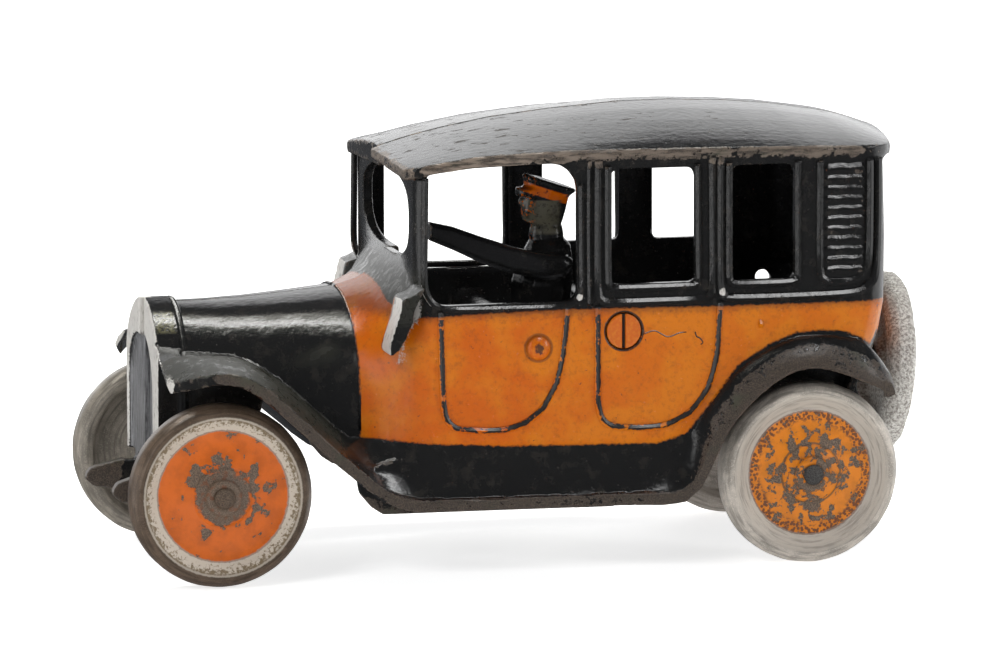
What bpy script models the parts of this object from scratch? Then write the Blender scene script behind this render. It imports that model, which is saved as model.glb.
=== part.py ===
"""Cast iron toy taxi. Two hollow half castings meet on the centre plane and are held by a
slotted screw and a peened rivet. Four cast wheels turn on two peened axles, a driver sits on
the front post, and a spare wheel is riveted to the back. The front points toward -X, the
left side toward -Y. Lengths along the car are measured from the front axle."""
import math

import bmesh
import bpy
from mathutils import Matrix, Vector

MM = 0.001

# Running gear
WHEEL_R = 22.5 * MM
WHEEL_W = 9.3 * MM
WHEELBASE = 147.5 * MM
TRACK_HALF = 37.4 * MM
FRONT_AXLE_X = -78.6 * MM
AXLE_R = 1.7 * MM
AXLE_PLAY = 0.25 * MM
AXLE_HEAD_R = 2.5 * MM
AXLE_HEAD_H = 0.9 * MM
HUB_R = 4.4 * MM
HUB_OUT = 1.3 * MM
DISC_R = 15.7 * MM
RIM_R = 19.2 * MM
BEARING_Y = 24.0 * MM
BEARING_R = 5.5 * MM

# Castings
SPLIT_GAP = 0.3 * MM
FIT_GAP = 0.3 * MM
WALL = 2.2 * MM
BODY_HALF_W = 40.2 * MM
RADIATOR_X = -12.6 * MM
RADIATOR_HALF_W = 17.4 * MM
RADIATOR_TOP = 66.2 * MM
RADIATOR_DEPTH = 7.6 * MM
CORE_HALF_W = 13.2 * MM
CORE_OFFSET = 3.0 * MM
CORE_TOP = 57.0 * MM
CORE_DEPTH = 1.4 * MM
HOOD_REAR_X = 36.0 * MM
HOOD_REAR_HALF_W = 31.0 * MM
HOOD_REAR_TOP = 67.6 * MM
CAB_FRONT_X = 48.5 * MM
CAB_REAR_X = 168.6 * MM
CORNER_R = 9.4 * MM
COWL_TOP = 76.2 * MM
PLATE_BOTTOM = 26.0 * MM
REAR_SKIRT_Z = 40.0 * MM

# Roof
ROOF_HALF_W = 41.3 * MM
ROOF_FRONT_X = 45.8 * MM
ROOF_REAR_X = 174.8 * MM
ROOF_CREST = 111.4 * MM
ROOF_RISE = 7.0 * MM
GUTTER_Z = ROOF_CREST - ROOF_RISE
BODY_TOP = GUTTER_Z - 4.4 * MM
ROOF_RIM = 3.0 * MM
CROWN = 1.8
ROOF_SKIN = 2.4 * MM

# Fenders and running boards
FENDER_HALF_W = 46.0 * MM
FENDER_T = 2.0 * MM
FENDER_RIM = 3.1 * MM
WELL_Y = BEARING_Y - 2.0 * MM
WELL_T = 2.2 * MM

# Openings
SIDE_SILL = 71.0 * MM
QUARTER_WINDOW = (CAB_REAR_X - 41.1 * MM, CAB_REAR_X - 25.3 * MM)
SIDE_WINDOW_TOP = GUTTER_Z - 5.2 * MM
SCREEN_HALF_W = BODY_HALF_W - 9.7 * MM
SCREEN_BOTTOM = 76.5 * MM
SCREEN_TOP = GUTTER_Z - 7.0 * MM
LOUVRES = (CAB_REAR_X - 17.3 * MM, CAB_REAR_X - 8.0 * MM)
LOUVRE_COUNT = 11
LOUVRE_RELIEF = 0.6 * MM

# Fasteners
RIVET_X = 78.8 * MM
RIVET_Z = 56.0 * MM
RIVET_R = 1.6 * MM
RIVET_HEAD_R = 3.1 * MM
RIVET_HEAD_H = 1.4 * MM
POST_R = 4.0 * MM
SCREW_X = 100.3 * MM
SCREW_Z = 59.4 * MM
SCREW_R = 1.9 * MM
SCREW_HEAD_R = 4.3 * MM
SCREW_HEAD_H = 1.7 * MM
SCREW_SLOT = 0.9 * MM
SCREW_POST_R = 4.4 * MM

# Spare wheel
SPARE_R = 22.5 * MM
SPARE_W = 7.4 * MM
SPARE_Z = 43.2 * MM
SPARE_BACK_X = CAB_REAR_X + 11.6 * MM
SPARE_TILT = math.radians(4.0)
SPARE_BOSS_R = 5.0 * MM

# Driver
DRIVER_Y = 15.0 * MM

# The two castings differ a little. Each entry is one half: how far its nose and cab front
# sit back, how much the front of its roof droops, its horn tip, its window jambs and sill.
LEFT = {
    "side": -1, "nose": 1.2 * MM, "lag": 0.0, "roof_lag": 0.0, "droop": 0.0,
    "lug_lag": 0.0, "lug_drop": 0.0, "apron_lag": 0.0, "horn_tip": -22.2 * MM,
    "front_window": (51.2 * MM, 88.5 * MM), "sill": 67.2 * MM,
    "door_window": (97.0 * MM, 118.2 * MM)}
RIGHT = {
    "side": 1, "nose": 0.0, "lag": 2.0 * MM, "roof_lag": 2.2 * MM, "droop": 3.0 * MM,
    "lug_lag": 3.0 * MM, "lug_drop": 1.6 * MM, "apron_lag": 4.0 * MM, "horn_tip": -24.4 * MM,
    "front_window": (57.8 * MM, 90.0 * MM), "sill": 65.2 * MM,
    "door_window": (98.8 * MM, 118.5 * MM)}

PLANE = SPLIT_GAP / 2.0


def clear_scene():
    for item in list(bpy.data.objects):
        bpy.data.objects.remove(item, do_unlink=True)


clear_scene()
TAXI = bpy.data.collections.new("toy_taxi")
bpy.context.scene.collection.children.link(TAXI)
CHASSIS = bpy.data.objects.new("front_axle_station", None)
CHASSIS.location = (FRONT_AXLE_X, 0.0, 0.0)
TAXI.objects.link(CHASSIS)


def material(name, colour, roughness, metallic):
    made = bpy.data.materials.new(name)
    made.use_nodes = True
    shader = made.node_tree.nodes["Principled BSDF"]
    shader.inputs["Base Color"].default_value = (*colour, 1.0)
    shader.inputs["Roughness"].default_value = roughness
    shader.inputs["Metallic"].default_value = metallic
    return made


def from_bmesh(name, bm):
    """New object from a mesh under construction; warped faces are split flat first."""
    warped = []
    for face in bm.faces:
        middle = face.calc_center_median()
        if max(abs((v.co - middle).dot(face.normal)) for v in face.verts) > 0.0000005:
            warped.append(face)
    bmesh.ops.triangulate(bm, faces=warped)
    bmesh.ops.recalc_face_normals(bm, faces=bm.faces[:])
    mesh = bpy.data.meshes.new(name)
    bm.to_mesh(mesh)
    bm.free()
    made = bpy.data.objects.new(name, mesh)
    TAXI.objects.link(made)
    return made


def loft(name, rings):
    """Closed solid through rings of equal length, with a flat end on each."""
    bm = bmesh.new()
    loops = [[bm.verts.new(point) for point in ring] for ring in rings]
    for near, far in zip(loops, loops[1:]):
        for i in range(len(near)):
            j = (i + 1) % len(near)
            bm.faces.new((near[i], near[j], far[j], far[i]))
    bm.faces.new(loops[0])
    bm.faces.new(loops[-1][::-1])
    bm.normal_update()
    return from_bmesh(name, bm)


def side_prism(name, outline, y0, y1):
    """Outline of (x, z) points carried across the car from y0 to y1."""
    return loft(name, [[(x, y, z) for x, z in outline] for y in (y0, y1)])


def front_prism(name, outline, x0, x1):
    """Outline of (y, z) points carried along the car from x0 to x1."""
    return loft(name, [[(x, y, z) for y, z in outline] for x in (x0, x1)])


def rod(name, radius, start, end, steps=20):
    """Round bar between two points."""
    start, end = Vector(start), Vector(end)
    axis = end - start
    bm = bmesh.new()
    bmesh.ops.create_cone(
        bm, cap_ends=True, segments=steps, radius1=radius, radius2=radius, depth=axis.length)
    turn = axis.to_track_quat("Z", "Y").to_matrix().to_4x4()
    bm.transform(Matrix.Translation((start + end) / 2.0) @ turn)
    return from_bmesh(name, bm)


def combine(target, operation, tools):
    """Boolean of the target with each tool in turn, kept as the target's mesh."""
    for tool in tools:
        step = target.modifiers.new(operation.lower(), "BOOLEAN")
        step.operation = operation
        step.solver = "EXACT"
        step.object = tool
        graph = bpy.context.evaluated_depsgraph_get()
        mesh = bpy.data.meshes.new_from_object(target.evaluated_get(graph))
        target.modifiers.clear()
        target.data = mesh
        bpy.data.objects.remove(tool, do_unlink=True)
    return target


def spline(points, pieces):
    """Smooth run through points of any dimension, each span cut in equal pieces."""
    ends = [points[0]] + list(points) + [points[-1]]
    run = []
    for i in range(1, len(ends) - 2):
        a, b, c, d = ends[i - 1:i + 3]
        for k in range(pieces):
            t = k / pieces
            run.append(tuple(
                0.5 * (2 * q + (r - p) * t + (2 * p - 5 * q + 4 * r - s) * t * t
                       + (3 * q - p - 3 * r + s) * t ** 3)
                for p, q, r, s in zip(a, b, c, d)))
    run.append(tuple(points[-1]))
    return run


def level(x, knots):
    """Height or width at station x, eased between knots of (station, value)."""
    if x <= knots[0][0]:
        return knots[0][1]
    for (x0, v0), (x1, v1) in zip(knots, knots[1:]):
        if x <= x1:
            return v0 + (v1 - v0) * (x - x0) / (x1 - x0)
    return knots[-1][1]


def rounded(corners, steps=4):
    """Outline of (a, b, radius) corners with each corner turned into an arc."""
    out = []
    count = len(corners)
    for i, (a, b, radius) in enumerate(corners):
        here = Vector((a, b))
        back = Vector(corners[i - 1][:2]) - here
        ahead = Vector(corners[(i + 1) % count][:2]) - here
        if radius == 0.0:
            out.append((a, b))
            continue
        half = back.angle(ahead) / 2.0
        reach = radius / math.tan(half)
        centre = here + (back.normalized() + ahead.normalized()).normalized() \
            * (radius / math.sin(half))
        first = here + back.normalized() * reach - centre
        last = here + ahead.normalized() * reach - centre
        sweep = first.angle_signed(last)
        for k in range(steps + 1):
            turn = Matrix.Rotation(-sweep * k / steps, 2)
            out.append(tuple(centre + turn @ first))
    return out


def arch(half_w, top, drop, power, bottom, plane, steps=8):
    """Half of an arched section as (y, z), from the foot of the centre plane round."""
    ring = [(plane, bottom)]
    for k in range(steps + 1):
        angle = math.pi / 2.0 * (1.0 - k / steps)
        across = max(math.cos(angle), 0.0) ** (2.0 / power)
        rise = max(math.sin(angle), 0.0) ** (2.0 / power)
        ring.append((plane + (half_w - plane) * across, top - drop + drop * rise))
    ring.append((half_w, bottom))
    return ring


def turned(name, profile, steps=24):
    """Turned piece, axis along Z, from a profile of (radius, height), top to bottom."""
    mesh = bpy.data.meshes.new(name)
    mesh.from_pydata(
        [(r, 0.0, h) for r, h in profile],
        [(i, i + 1) for i in range(len(profile) - 1)], [])
    made = bpy.data.objects.new(name, mesh)
    TAXI.objects.link(made)
    screw = made.modifiers.new("turn", "SCREW")
    screw.steps = steps
    screw.render_steps = steps
    screw.use_merge_vertices = True
    screw.merge_threshold = 0.00001
    graph = bpy.context.evaluated_depsgraph_get()
    mesh = bpy.data.meshes.new_from_object(made.evaluated_get(graph))
    made.modifiers.clear()
    made.data = mesh
    return made


def lay_along(ob, direction):
    """Turn a piece whose axis is Z so that Z points along the direction."""
    turn = Vector(direction).to_track_quat("Z", "Y").to_matrix().to_4x4()
    ob.data.transform(turn)
    return ob


# Half width of the hood, cowl and cab along the car
COWL_LENGTH = CAB_FRONT_X - HOOD_REAR_X
SIDE_KNOTS = [
    (RADIATOR_X, RADIATOR_HALF_W),
    (RADIATOR_X + RADIATOR_DEPTH, RADIATOR_HALF_W + 1.0 * MM),
    (HOOD_REAR_X, HOOD_REAR_HALF_W),
    (HOOD_REAR_X + 0.48 * COWL_LENGTH, BODY_HALF_W - 5.4 * MM),
    (CAB_FRONT_X, BODY_HALF_W - 1.0 * MM),
    (CAB_FRONT_X + 3.0 * MM, BODY_HALF_W - 0.3 * MM),
]
TOP_KNOTS = [
    (RADIATOR_X, HOOD_REAR_TOP - 2.7 * MM),
    (RADIATOR_X + 19.0 * MM, HOOD_REAR_TOP - 2.5 * MM),
    (RADIATOR_X + 29.0 * MM, HOOD_REAR_TOP - 1.9 * MM),
    (RADIATOR_X + 39.0 * MM, HOOD_REAR_TOP - 1.0 * MM),
    (HOOD_REAR_X, HOOD_REAR_TOP),
    (HOOD_REAR_X + 0.48 * COWL_LENGTH, HOOD_REAR_TOP + 1.7 * MM),
    (HOOD_REAR_X + 0.656 * COWL_LENGTH, HOOD_REAR_TOP + 2.8 * MM),
    (HOOD_REAR_X + 0.76 * COWL_LENGTH, HOOD_REAR_TOP + 4.6 * MM),
    (HOOD_REAR_X + 0.872 * COWL_LENGTH, COWL_TOP - 2.4 * MM),
    (CAB_FRONT_X, COWL_TOP - 0.6 * MM),
    (CAB_FRONT_X + 3.0 * MM, COWL_TOP),
]
ROOF_LENGTH = ROOF_REAR_X - ROOF_FRONT_X
CREST_KNOTS = [(ROOF_FRONT_X + part * ROOF_LENGTH, ROOF_CREST - drop * MM) for part, drop in (
    (0.0, 10.2), (0.02, 9.4), (0.06, 7.9), (0.1, 6.5), (0.19, 4.1), (0.26, 2.7), (0.37, 1.3),
    (0.46, 0.4), (0.53, 0.0), (0.62, 0.2), (0.73, 1.0), (0.82, 2.3), (0.91, 4.5), (0.95, 6.0),
    (1.0, 8.2))]
GUTTER_KNOTS = [(ROOF_FRONT_X + part * ROOF_LENGTH, GUTTER_Z - drop * MM) for part, drop in (
    (0.0, 3.7), (0.04, 2.7), (0.13, 1.0), (0.28, 0.1), (0.41, 0.0), (0.74, 0.6), (0.92, 1.2),
    (1.0, 1.9))]
DROOP_KNOTS = [(ROOF_FRONT_X + ahead * MM, part) for ahead, part in (
    (0.0, 0.8), (4.2, 0.95), (10.2, 1.0), (19.2, 0.75), (24.2, 0.5), (38.2, 0.0))]


def roof_half_width(x):
    """Plan of the roof: rounded at the front corners, more at the back ones."""
    front = level(x, [
        (ROOF_FRONT_X, ROOF_HALF_W - 3.4 * MM),
        (ROOF_FRONT_X + 1.6 * MM, ROOF_HALF_W - 1.2 * MM),
        (ROOF_FRONT_X + 5.0 * MM, ROOF_HALF_W)])
    back = level(x, [(ROOF_REAR_X - ahead * MM, ROOF_HALF_W - inward * MM)
                     for ahead, inward in (
        (16.0, 0.0), (12.8, 0.7), (9.8, 2.4), (7.4, 4.8), (4.9, 9.3), (3.2, 16.3),
        (1.4, 25.8), (0.4, 33.3))])
    return min(front, back)


def rear_x(z):
    """The back panel leans forward below the belt."""
    return level(z, [
        (REAR_SKIRT_Z, CAB_REAR_X - 7.6 * MM),
        (50.8 * MM, CAB_REAR_X - 3.3 * MM),
        (56.8 * MM, CAB_REAR_X - 1.5 * MM),
        (64.0 * MM, CAB_REAR_X - 0.2 * MM),
        (80.0 * MM, CAB_REAR_X),
        (BODY_TOP, CAB_REAR_X - 0.6 * MM)])


def cab_ring(z, inset, plane, front, roofed=False):
    """Plan of half the cab at height z, walls moved in by the inset. The roofed ring
    follows the gutter instead, and z is then its droop."""
    rear = rear_x(BODY_TOP if roofed else z) - inset
    side = BODY_HALF_W - inset
    corner = CORNER_R - inset
    plan = [(front, plane)]
    if inset == 0.0:
        plan += [(front, side - 3.8 * MM), (front + 1.5 * MM, side - 0.8 * MM),
                 (front + 3.4 * MM, side)]
    else:
        plan += [(front, side - 2.0 * MM), (front + 0.6 * MM, side - 0.6 * MM),
                 (front + 2.0 * MM, side)]
    for k in range(5):
        angle = math.pi / 2.0 * (1.0 - k / 4.0)
        plan.append((rear - corner * (1.0 - math.cos(angle)),
                     side - corner * (1.0 - math.sin(angle))))
    plan += [(rear + 1.6 * MM, side / 2.0), (rear + 2.2 * MM, plane)]
    if roofed:
        return [(x, y, level(x, GUTTER_KNOTS) - z * level(x, DROOP_KNOTS) - 1.3 * MM)
                for x, y in plan]
    return [(x, y, z) for x, y in plan]


def roof_ring(x, half_w, plane, droop):
    """Section of half the roof: crown, rolled edge and underside."""
    crest = level(x, CREST_KNOTS)
    edge = level(x, GUTTER_KNOTS) - droop * level(x, DROOP_KNOTS)
    ring = [(x, plane, edge - ROOF_RIM + 1.2 * MM), (x, plane, crest)]
    for part in (0.3, 0.55, 0.75, 0.9):
        ring.append((x, plane + (half_w - plane) * part,
                     edge + (crest - edge) * (1.0 - part ** CROWN)))
    ring += [(x, half_w - 0.4 * MM, edge), (x, half_w, edge - 1.2 * MM),
             (x, half_w - 0.6 * MM, edge - ROOF_RIM)]
    return ring


def roof_hollow_ring(x, half_w, plane, droop):
    crest = level(x, CREST_KNOTS) - ROOF_SKIN
    edge = level(x, GUTTER_KNOTS) - droop * level(x, DROOP_KNOTS) - ROOF_SKIN
    ring = [(x, plane, edge - 4.0 * MM), (x, plane, crest)]
    for part in (0.4, 0.75):
        ring.append((x, plane + (half_w - plane) * part,
                     edge + (crest - edge) * (1.0 - part ** CROWN)))
    ring += [(x, half_w, edge), (x, half_w, edge - 4.0 * MM)]
    return ring


def edge_stations():
    """Outer edge, foot on the body, inner reach and crown of the fender strip.
    Rows: x, z, y of the edge, x, z, y of the foot, y of the inner reach, crown."""
    rows = []
    axle = WHEEL_R
    side = BODY_HALF_W / MM
    well = WELL_Y / MM
    front, back = 47.5, -33.9
    span = (WHEELBASE / MM + back - front) / 66.1
    board = [front + span * part for part in (10.5, 32.5, 54.5)]
    for xo, zo, yo, xj, zj, crown in (
            (-12.4, 27.1, 34.0, -12.0, 34.0, 0.6),
            (-8.0, 29.1, 41.5, -8.0, 33.2, 0.8),
            (-2.0, 30.9, 45.4, -2.5, 32.1, 1.0),
            (4.7, 30.1, 46.0, 6.3, 31.7, 1.0),
            (10.0, 27.1, 46.0, 12.5, 29.1, 1.0),
            (15.3, 22.7, 46.0, 17.8, 25.1, 0.9),
            (20.7, 17.7, 46.0, 22.6, 20.9, 0.7),
            (25.9, 12.6, 46.0, 27.4, 16.4, 0.3),
            (33.2, 6.4, 46.0, 33.0, 12.1, -1.0),
            (40.5, 0.5, 46.0, 39.5, 10.8, -2.6),
            (front, -2.0, 46.0, 46.5, 10.2, -3.3),
            (board[0], -2.2, 46.0, board[0], 9.7, -3.5),
            (board[1], -2.3, 46.0, board[1], 8.9, -3.5),
            (board[2], -2.4, 46.0, board[2], 8.5, -3.3)):
        foot = level(xj * MM, SIDE_KNOTS)
        if xj * MM > CAB_FRONT_X:
            foot = BODY_HALF_W
        rows.append((xo * MM, axle + zo * MM, yo * MM - 46.0 * MM + FENDER_HALF_W,
                     xj * MM, axle + zj * MM, foot, foot - 3.2 * MM, crown * MM))
    for xo, zo, yo, xj, zj, reach, crown in (
            (back, -2.4, 46.0, -33.8, 8.9, side - 5.2, -2.4),
            (-29.3, 3.6, 46.0, -29.6, 11.9, well + 5.0, -0.8),
            (-25.1, 12.6, 46.0, -24.5, 20.0, well + 1.0, 0.8),
            (-19.4, 19.7, 46.0, -17.9, 26.6, well + 1.0, 1.2),
            (-12.0, 25.9, 46.0, -10.4, 31.4, well + 1.0, 1.2),
            (-5.0, 29.2, 46.0, -3.5, 33.8, well + 1.0, 1.2),
            (2.0, 29.5, 46.0, 3.0, 34.4, well + 1.0, 1.2),
            (8.0, 27.8, 46.0, 8.5, 33.5, well + 1.0, 1.2),
            (13.8, 25.4, 46.0, 12.8, 32.2, well + 1.0, 1.0),
            (18.0, 23.4, 45.6, 16.2, 29.8, well + 2.0, 0.8),
            (20.2, 21.4, 44.6, 18.4, 26.4, side - 9.2, 0.5),
            (21.0, 18.6, 43.6, 19.2, 22.8, side - 8.2, 0.3)):
        rows.append((WHEELBASE + xo * MM, axle + zo * MM, yo * MM - 46.0 * MM + FENDER_HALF_W,
                     WHEELBASE + xj * MM, axle + zj * MM, BODY_HALF_W, reach * MM, crown * MM))
    return spline(rows, 2)


EDGE = edge_stations()


def fender_ring(i):
    """Section of the fender strip: inner reach, foot, crown, rolled edge, underside."""
    xo, zo, yo, xj, zj, yj, reach, crown = EDGE[i]
    before = EDGE[max(i - 1, 0)]
    after = EDGE[min(i + 1, len(EDGE) - 1)]
    run = Vector((after[0] - before[0], after[1] - before[1])).normalized()
    up = Vector((-run.y, 0.0, run.x))
    out = Vector((0.0, 1.0, 0.0))
    edge = Vector((xo, yo, zo))
    foot = Vector((xj, yj, zj))
    inner = Vector((xj, reach, zj - 0.3 * MM))
    bulge = up * crown
    top = [inner, foot, foot.lerp(edge, 0.35) + bulge * 0.85, foot.lerp(edge, 0.7) + bulge, edge]
    rim = [edge + out * 0.3 * MM - up * 1.1 * MM,
           edge - up * (FENDER_RIM - 0.4 * MM),
           edge - out * 1.0 * MM - up * FENDER_RIM]
    under = []
    for k in (3, 2, 1):
        sides = []
        for span in (top[k] - top[k - 1], top[k + 1] - top[k]):
            flat = Vector((span.dot(out), span.dot(up))).normalized()
            sides.append(Vector((flat.y, -flat.x)))
        mitre = sides[0] + sides[1]
        mitre *= FENDER_T / (0.5 * mitre.length_squared)
        under.append(top[k] + out * mitre.x + up * mitre.y)
    under.append(inner - up * FENDER_T)
    return [tuple(point) for point in top + rim + under]


def foot_path(first, last, drop):
    """Foot of the strip in side view between two stations, lowered into the sheet."""
    return [(row[3], row[4] - drop) for row in EDGE if first <= row[3] <= last]


def mirrored(ob, side):
    """Everything is modelled at +Y; the left side is its mirror image."""
    if side < 0:
        ob.data.transform(Matrix.Diagonal((1.0, -1.0, 1.0, 1.0)))
        ob.data.flip_normals()
    return ob


def hood_sections(inset, plane, lag):
    """Arched sections from the hood's front edge back into the cab's front wall. The lag
    stretches them toward the back."""
    start = RADIATOR_X + RADIATOR_DEPTH - 0.6 * MM
    stops = [start, 4.0 * MM, 14.0 * MM, 25.0 * MM, HOOD_REAR_X]
    stops += [HOOD_REAR_X + part * COWL_LENGTH for part in (0.28, 0.48, 0.68, 0.84, 1.0)]
    stops += [CAB_FRONT_X + 2.6 * MM]
    rings = []
    for x in stops:
        drop = level(x, [(start, 13.5 * MM), (HOOD_REAR_X, 22.0 * MM), (CAB_FRONT_X, 20.0 * MM)])
        power = level(x, [(start, 1.9), (HOOD_REAR_X, 2.1), (CAB_FRONT_X, 3.0)])
        base = -5.0 * MM if inset else 17.0 * MM
        ring = arch(level(x, SIDE_KNOTS) - inset, level(x, TOP_KNOTS) - inset, drop, power,
                    base, plane)
        place = x + lag * max(0.0, x - start) / (CAB_FRONT_X - start)
        rings.append([(place, y, z) for y, z in ring])
    return rings


def body_half(name, half):
    """One hollow casting: hood, cab, half the roof, fenders and running board."""
    past = -4.0 * MM
    side = half["side"]
    cab_front = CAB_FRONT_X + half["lag"]
    nose_x = RADIATOR_X + half["nose"]
    droop = half["droop"]

    heights = (17.0, 40.0, 50.8, 56.8, 64.0, 80.0)
    shell = loft(name, [cab_ring(z * MM, 0.0, PLANE, cab_front) for z in heights]
                 + [cab_ring(droop, 0.0, PLANE, cab_front, roofed=True)])
    tail = [ROOF_REAR_X - k * MM for k in (16.0, 12.8, 9.8, 7.4, 4.9, 3.2, 1.4, 0.4)]
    run = (ROOF_LENGTH - 21.0 * MM) / 108.0
    middle = [ROOF_FRONT_X + 5.0 * MM + run * k
              for k in (5.0, 12.3, 25.0, 40.0, 58.0, 71.0, 85.0, 96.0)]
    lead = [ROOF_FRONT_X + half["roof_lag"] + k * MM for k in (0.0, 1.6, 5.0)]
    roof = loft("roof", [
        roof_ring(x, roof_half_width(max(x - half["roof_lag"], ROOF_FRONT_X))
                  if x in lead else roof_half_width(x), PLANE, droop)
        for x in lead + middle + tail])
    hood = loft("hood", hood_sections(0.0, PLANE, half["lag"]))
    front = RADIATOR_X + RADIATOR_DEPTH
    radiator = front_prism(
        "radiator", arch(RADIATOR_HALF_W, RADIATOR_TOP, 14.0 * MM, 1.65, 17.0 * MM, PLANE),
        nose_x, front)
    combine(shell, "UNION", [roof, hood, radiator])

    inner_front = cab_front + 2.7 * MM
    levels = [z * MM for z in (-5.0, 40.0, 50.8, 56.8, 64.0, 80.0)] + [BODY_TOP - 2.0 * MM]
    hollow = loft("hollow", [cab_ring(z, WALL, past, inner_front) for z in levels])
    stops = [inner_front + 0.4 * MM] + middle[1:] + tail[:3]
    roof_hollow = loft("roof_hollow", [
        roof_hollow_ring(x, min(BODY_HALF_W - WALL - 0.5 * MM, roof_half_width(x) - 3.9 * MM),
                         past - 1.0 * MM, droop)
        for x in stops])
    hood_hollow = loft("hood_hollow", hood_sections(WALL, past, half["lag"]))
    radiator_hollow = front_prism(
        "radiator_hollow", arch(RADIATOR_HALF_W - WALL, RADIATOR_TOP - 2.0 * WALL, 11.0 * MM, 1.8,
                                -5.0 * MM, past),
        nose_x + CORE_DEPTH + 1.6 * MM, front + 2.0 * MM)

    # Below the fenders the walls stop in the thickness of the strip; only the bearing
    # plates of the axles go on down.
    lower = [(-30.0 * MM, -6.0 * MM), (-30.0 * MM, PLATE_BOTTOM), (-7.0 * MM, PLATE_BOTTOM),
             (-5.0 * MM, WHEEL_R - 5.0 * MM), (5.0 * MM, WHEEL_R - 5.0 * MM),
             (8.5 * MM, PLATE_BOTTOM), (12.0 * MM, PLATE_BOTTOM + 10.0 * MM)]
    run = foot_path(15.0 * MM, WHEELBASE + 17.0 * MM, FENDER_T / 2.0)
    outer_cut = side_prism(
        "outer_cut", lower + run + [(WHEELBASE + 40.0 * MM, run[-1][1]),
                                    (WHEELBASE + 40.0 * MM, -6.0 * MM)],
        WELL_Y + 9.0 * MM, 60.0 * MM)
    skirt_x = CAB_REAR_X - 12.1 * MM
    run = foot_path(15.0 * MM, skirt_x - 1.0 * MM, FENDER_T / 2.0)
    inner_cut = side_prism(
        "inner_cut", lower + run + [(skirt_x, REAR_SKIRT_Z),
                                    (WHEELBASE + 40.0 * MM, REAR_SKIRT_Z),
                                    (WHEELBASE + 40.0 * MM, -6.0 * MM)],
        -6.0 * MM, WELL_Y + 9.5 * MM)
    combine(shell, "DIFFERENCE", [hollow, roof_hollow, hood_hollow, radiator_hollow,
                                  outer_cut, inner_cut])

    strip = loft("strip", [fender_ring(i) for i in range(len(EDGE))])
    crown = foot_path(WHEELBASE - 27.0 * MM, WHEELBASE + 16.0 * MM, FENDER_T / 2.0)
    foot = [(WHEELBASE + x * MM, WHEEL_R + z * MM) for x, z in (
        (17.0, 16.0), (7.0, -1.0), (4.5, -5.0), (-4.5, -5.0), (-7.0, -1.0), (-25.0, 10.0))]
    well = side_prism("well", crown + foot, WELL_Y, WELL_Y + WELL_T)
    front_bearing = rod("front_bearing", BEARING_R, (0.0, RADIATOR_HALF_W - 1.0 * MM, WHEEL_R),
                        (0.0, BEARING_Y, WHEEL_R))
    rear_bearing = rod("rear_bearing", BEARING_R, (WHEELBASE, WELL_Y - 1.5 * MM, WHEEL_R),
                       (WHEELBASE, BEARING_Y, WHEEL_R))
    tip = half["horn_tip"]
    horn = side_prism("horn", rounded([
        (-8.8 * MM, PLATE_BOTTOM + 2.0 * MM, 0.0), (-12.2 * MM, PLATE_BOTTOM + 2.0 * MM, 0.0),
        (-13.6 * MM, PLATE_BOTTOM - 1.4 * MM, 1.0 * MM),
        (tip + 1.4 * MM, PLATE_BOTTOM - 3.8 * MM, 1.2 * MM),
        (tip, PLATE_BOTTOM - 6.4 * MM, 1.0 * MM),
        (tip + 2.2 * MM, PLATE_BOTTOM - 8.4 * MM, 1.0 * MM),
        (-14.0 * MM, PLATE_BOTTOM - 9.6 * MM, 2.0 * MM),
        (-8.8 * MM, PLATE_BOTTOM - 8.6 * MM, 0.0)], 2), 10.6 * MM, 13.8 * MM)
    lug = side_prism("lug", [
        (CAB_FRONT_X + half["lug_lag"] + x * MM, z * MM - half["lug_drop"]) for x, z in (
            (-4.4, 69.6), (-5.4, 65.2), (-7.3, 59.6), (-7.9, 56.8), (-7.1, 55.7), (-5.1, 57.2),
            (-3.3, 60.2), (-1.7, 64.0), (-1.2, 67.0), (1.6, 72.6), (-1.6, 70.6))],
        BODY_HALF_W - 6.0 * MM, BODY_HALF_W + 3.8 * MM)
    front_post = turned("front_post", [
        (0.0, BODY_HALF_W - 0.9 * MM), (POST_R, BODY_HALF_W - 0.9 * MM), (POST_R, PLANE),
        (0.0, PLANE)], 16)
    screw_post = turned("screw_post", [
        (0.0, BODY_HALF_W - 1.1 * MM), (SCREW_HEAD_R + 2.0 * MM, BODY_HALF_W - 1.1 * MM),
        (SCREW_HEAD_R + 2.0 * MM, BODY_HALF_W - 5.0 * MM), (SCREW_POST_R, BODY_HALF_W - 6.6 * MM),
        (SCREW_POST_R, PLANE), (0.0, PLANE)], 16)
    for post, x, z in ((front_post, RIVET_X, RIVET_Z), (screw_post, SCREW_X, SCREW_Z)):
        lay_along(post, (0.0, 1.0, 0.0))
        post.data.transform(Matrix.Translation((x, 0.0, z)))
    apron = [(half["apron_lag"] + x * MM, z * MM) for x, z in (
        (44.0, 30.0), (33.4, 26.6), (34.2, 21.8), (37.2, 18.2), (40.2, 16.2))]
    apron += [(half["apron_lag"] + WHEELBASE - x * MM, z * MM) for x, z in (
        (49.5, 15.9), (46.9, 17.6), (50.5, 28.0))]
    apron = side_prism("apron", apron, BODY_HALF_W - 2.6 * MM, BODY_HALF_W - 0.9 * MM)
    combine(shell, "UNION", [strip, well, front_bearing, rear_bearing, horn, lug, front_post,
                             screw_post, apron])

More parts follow.
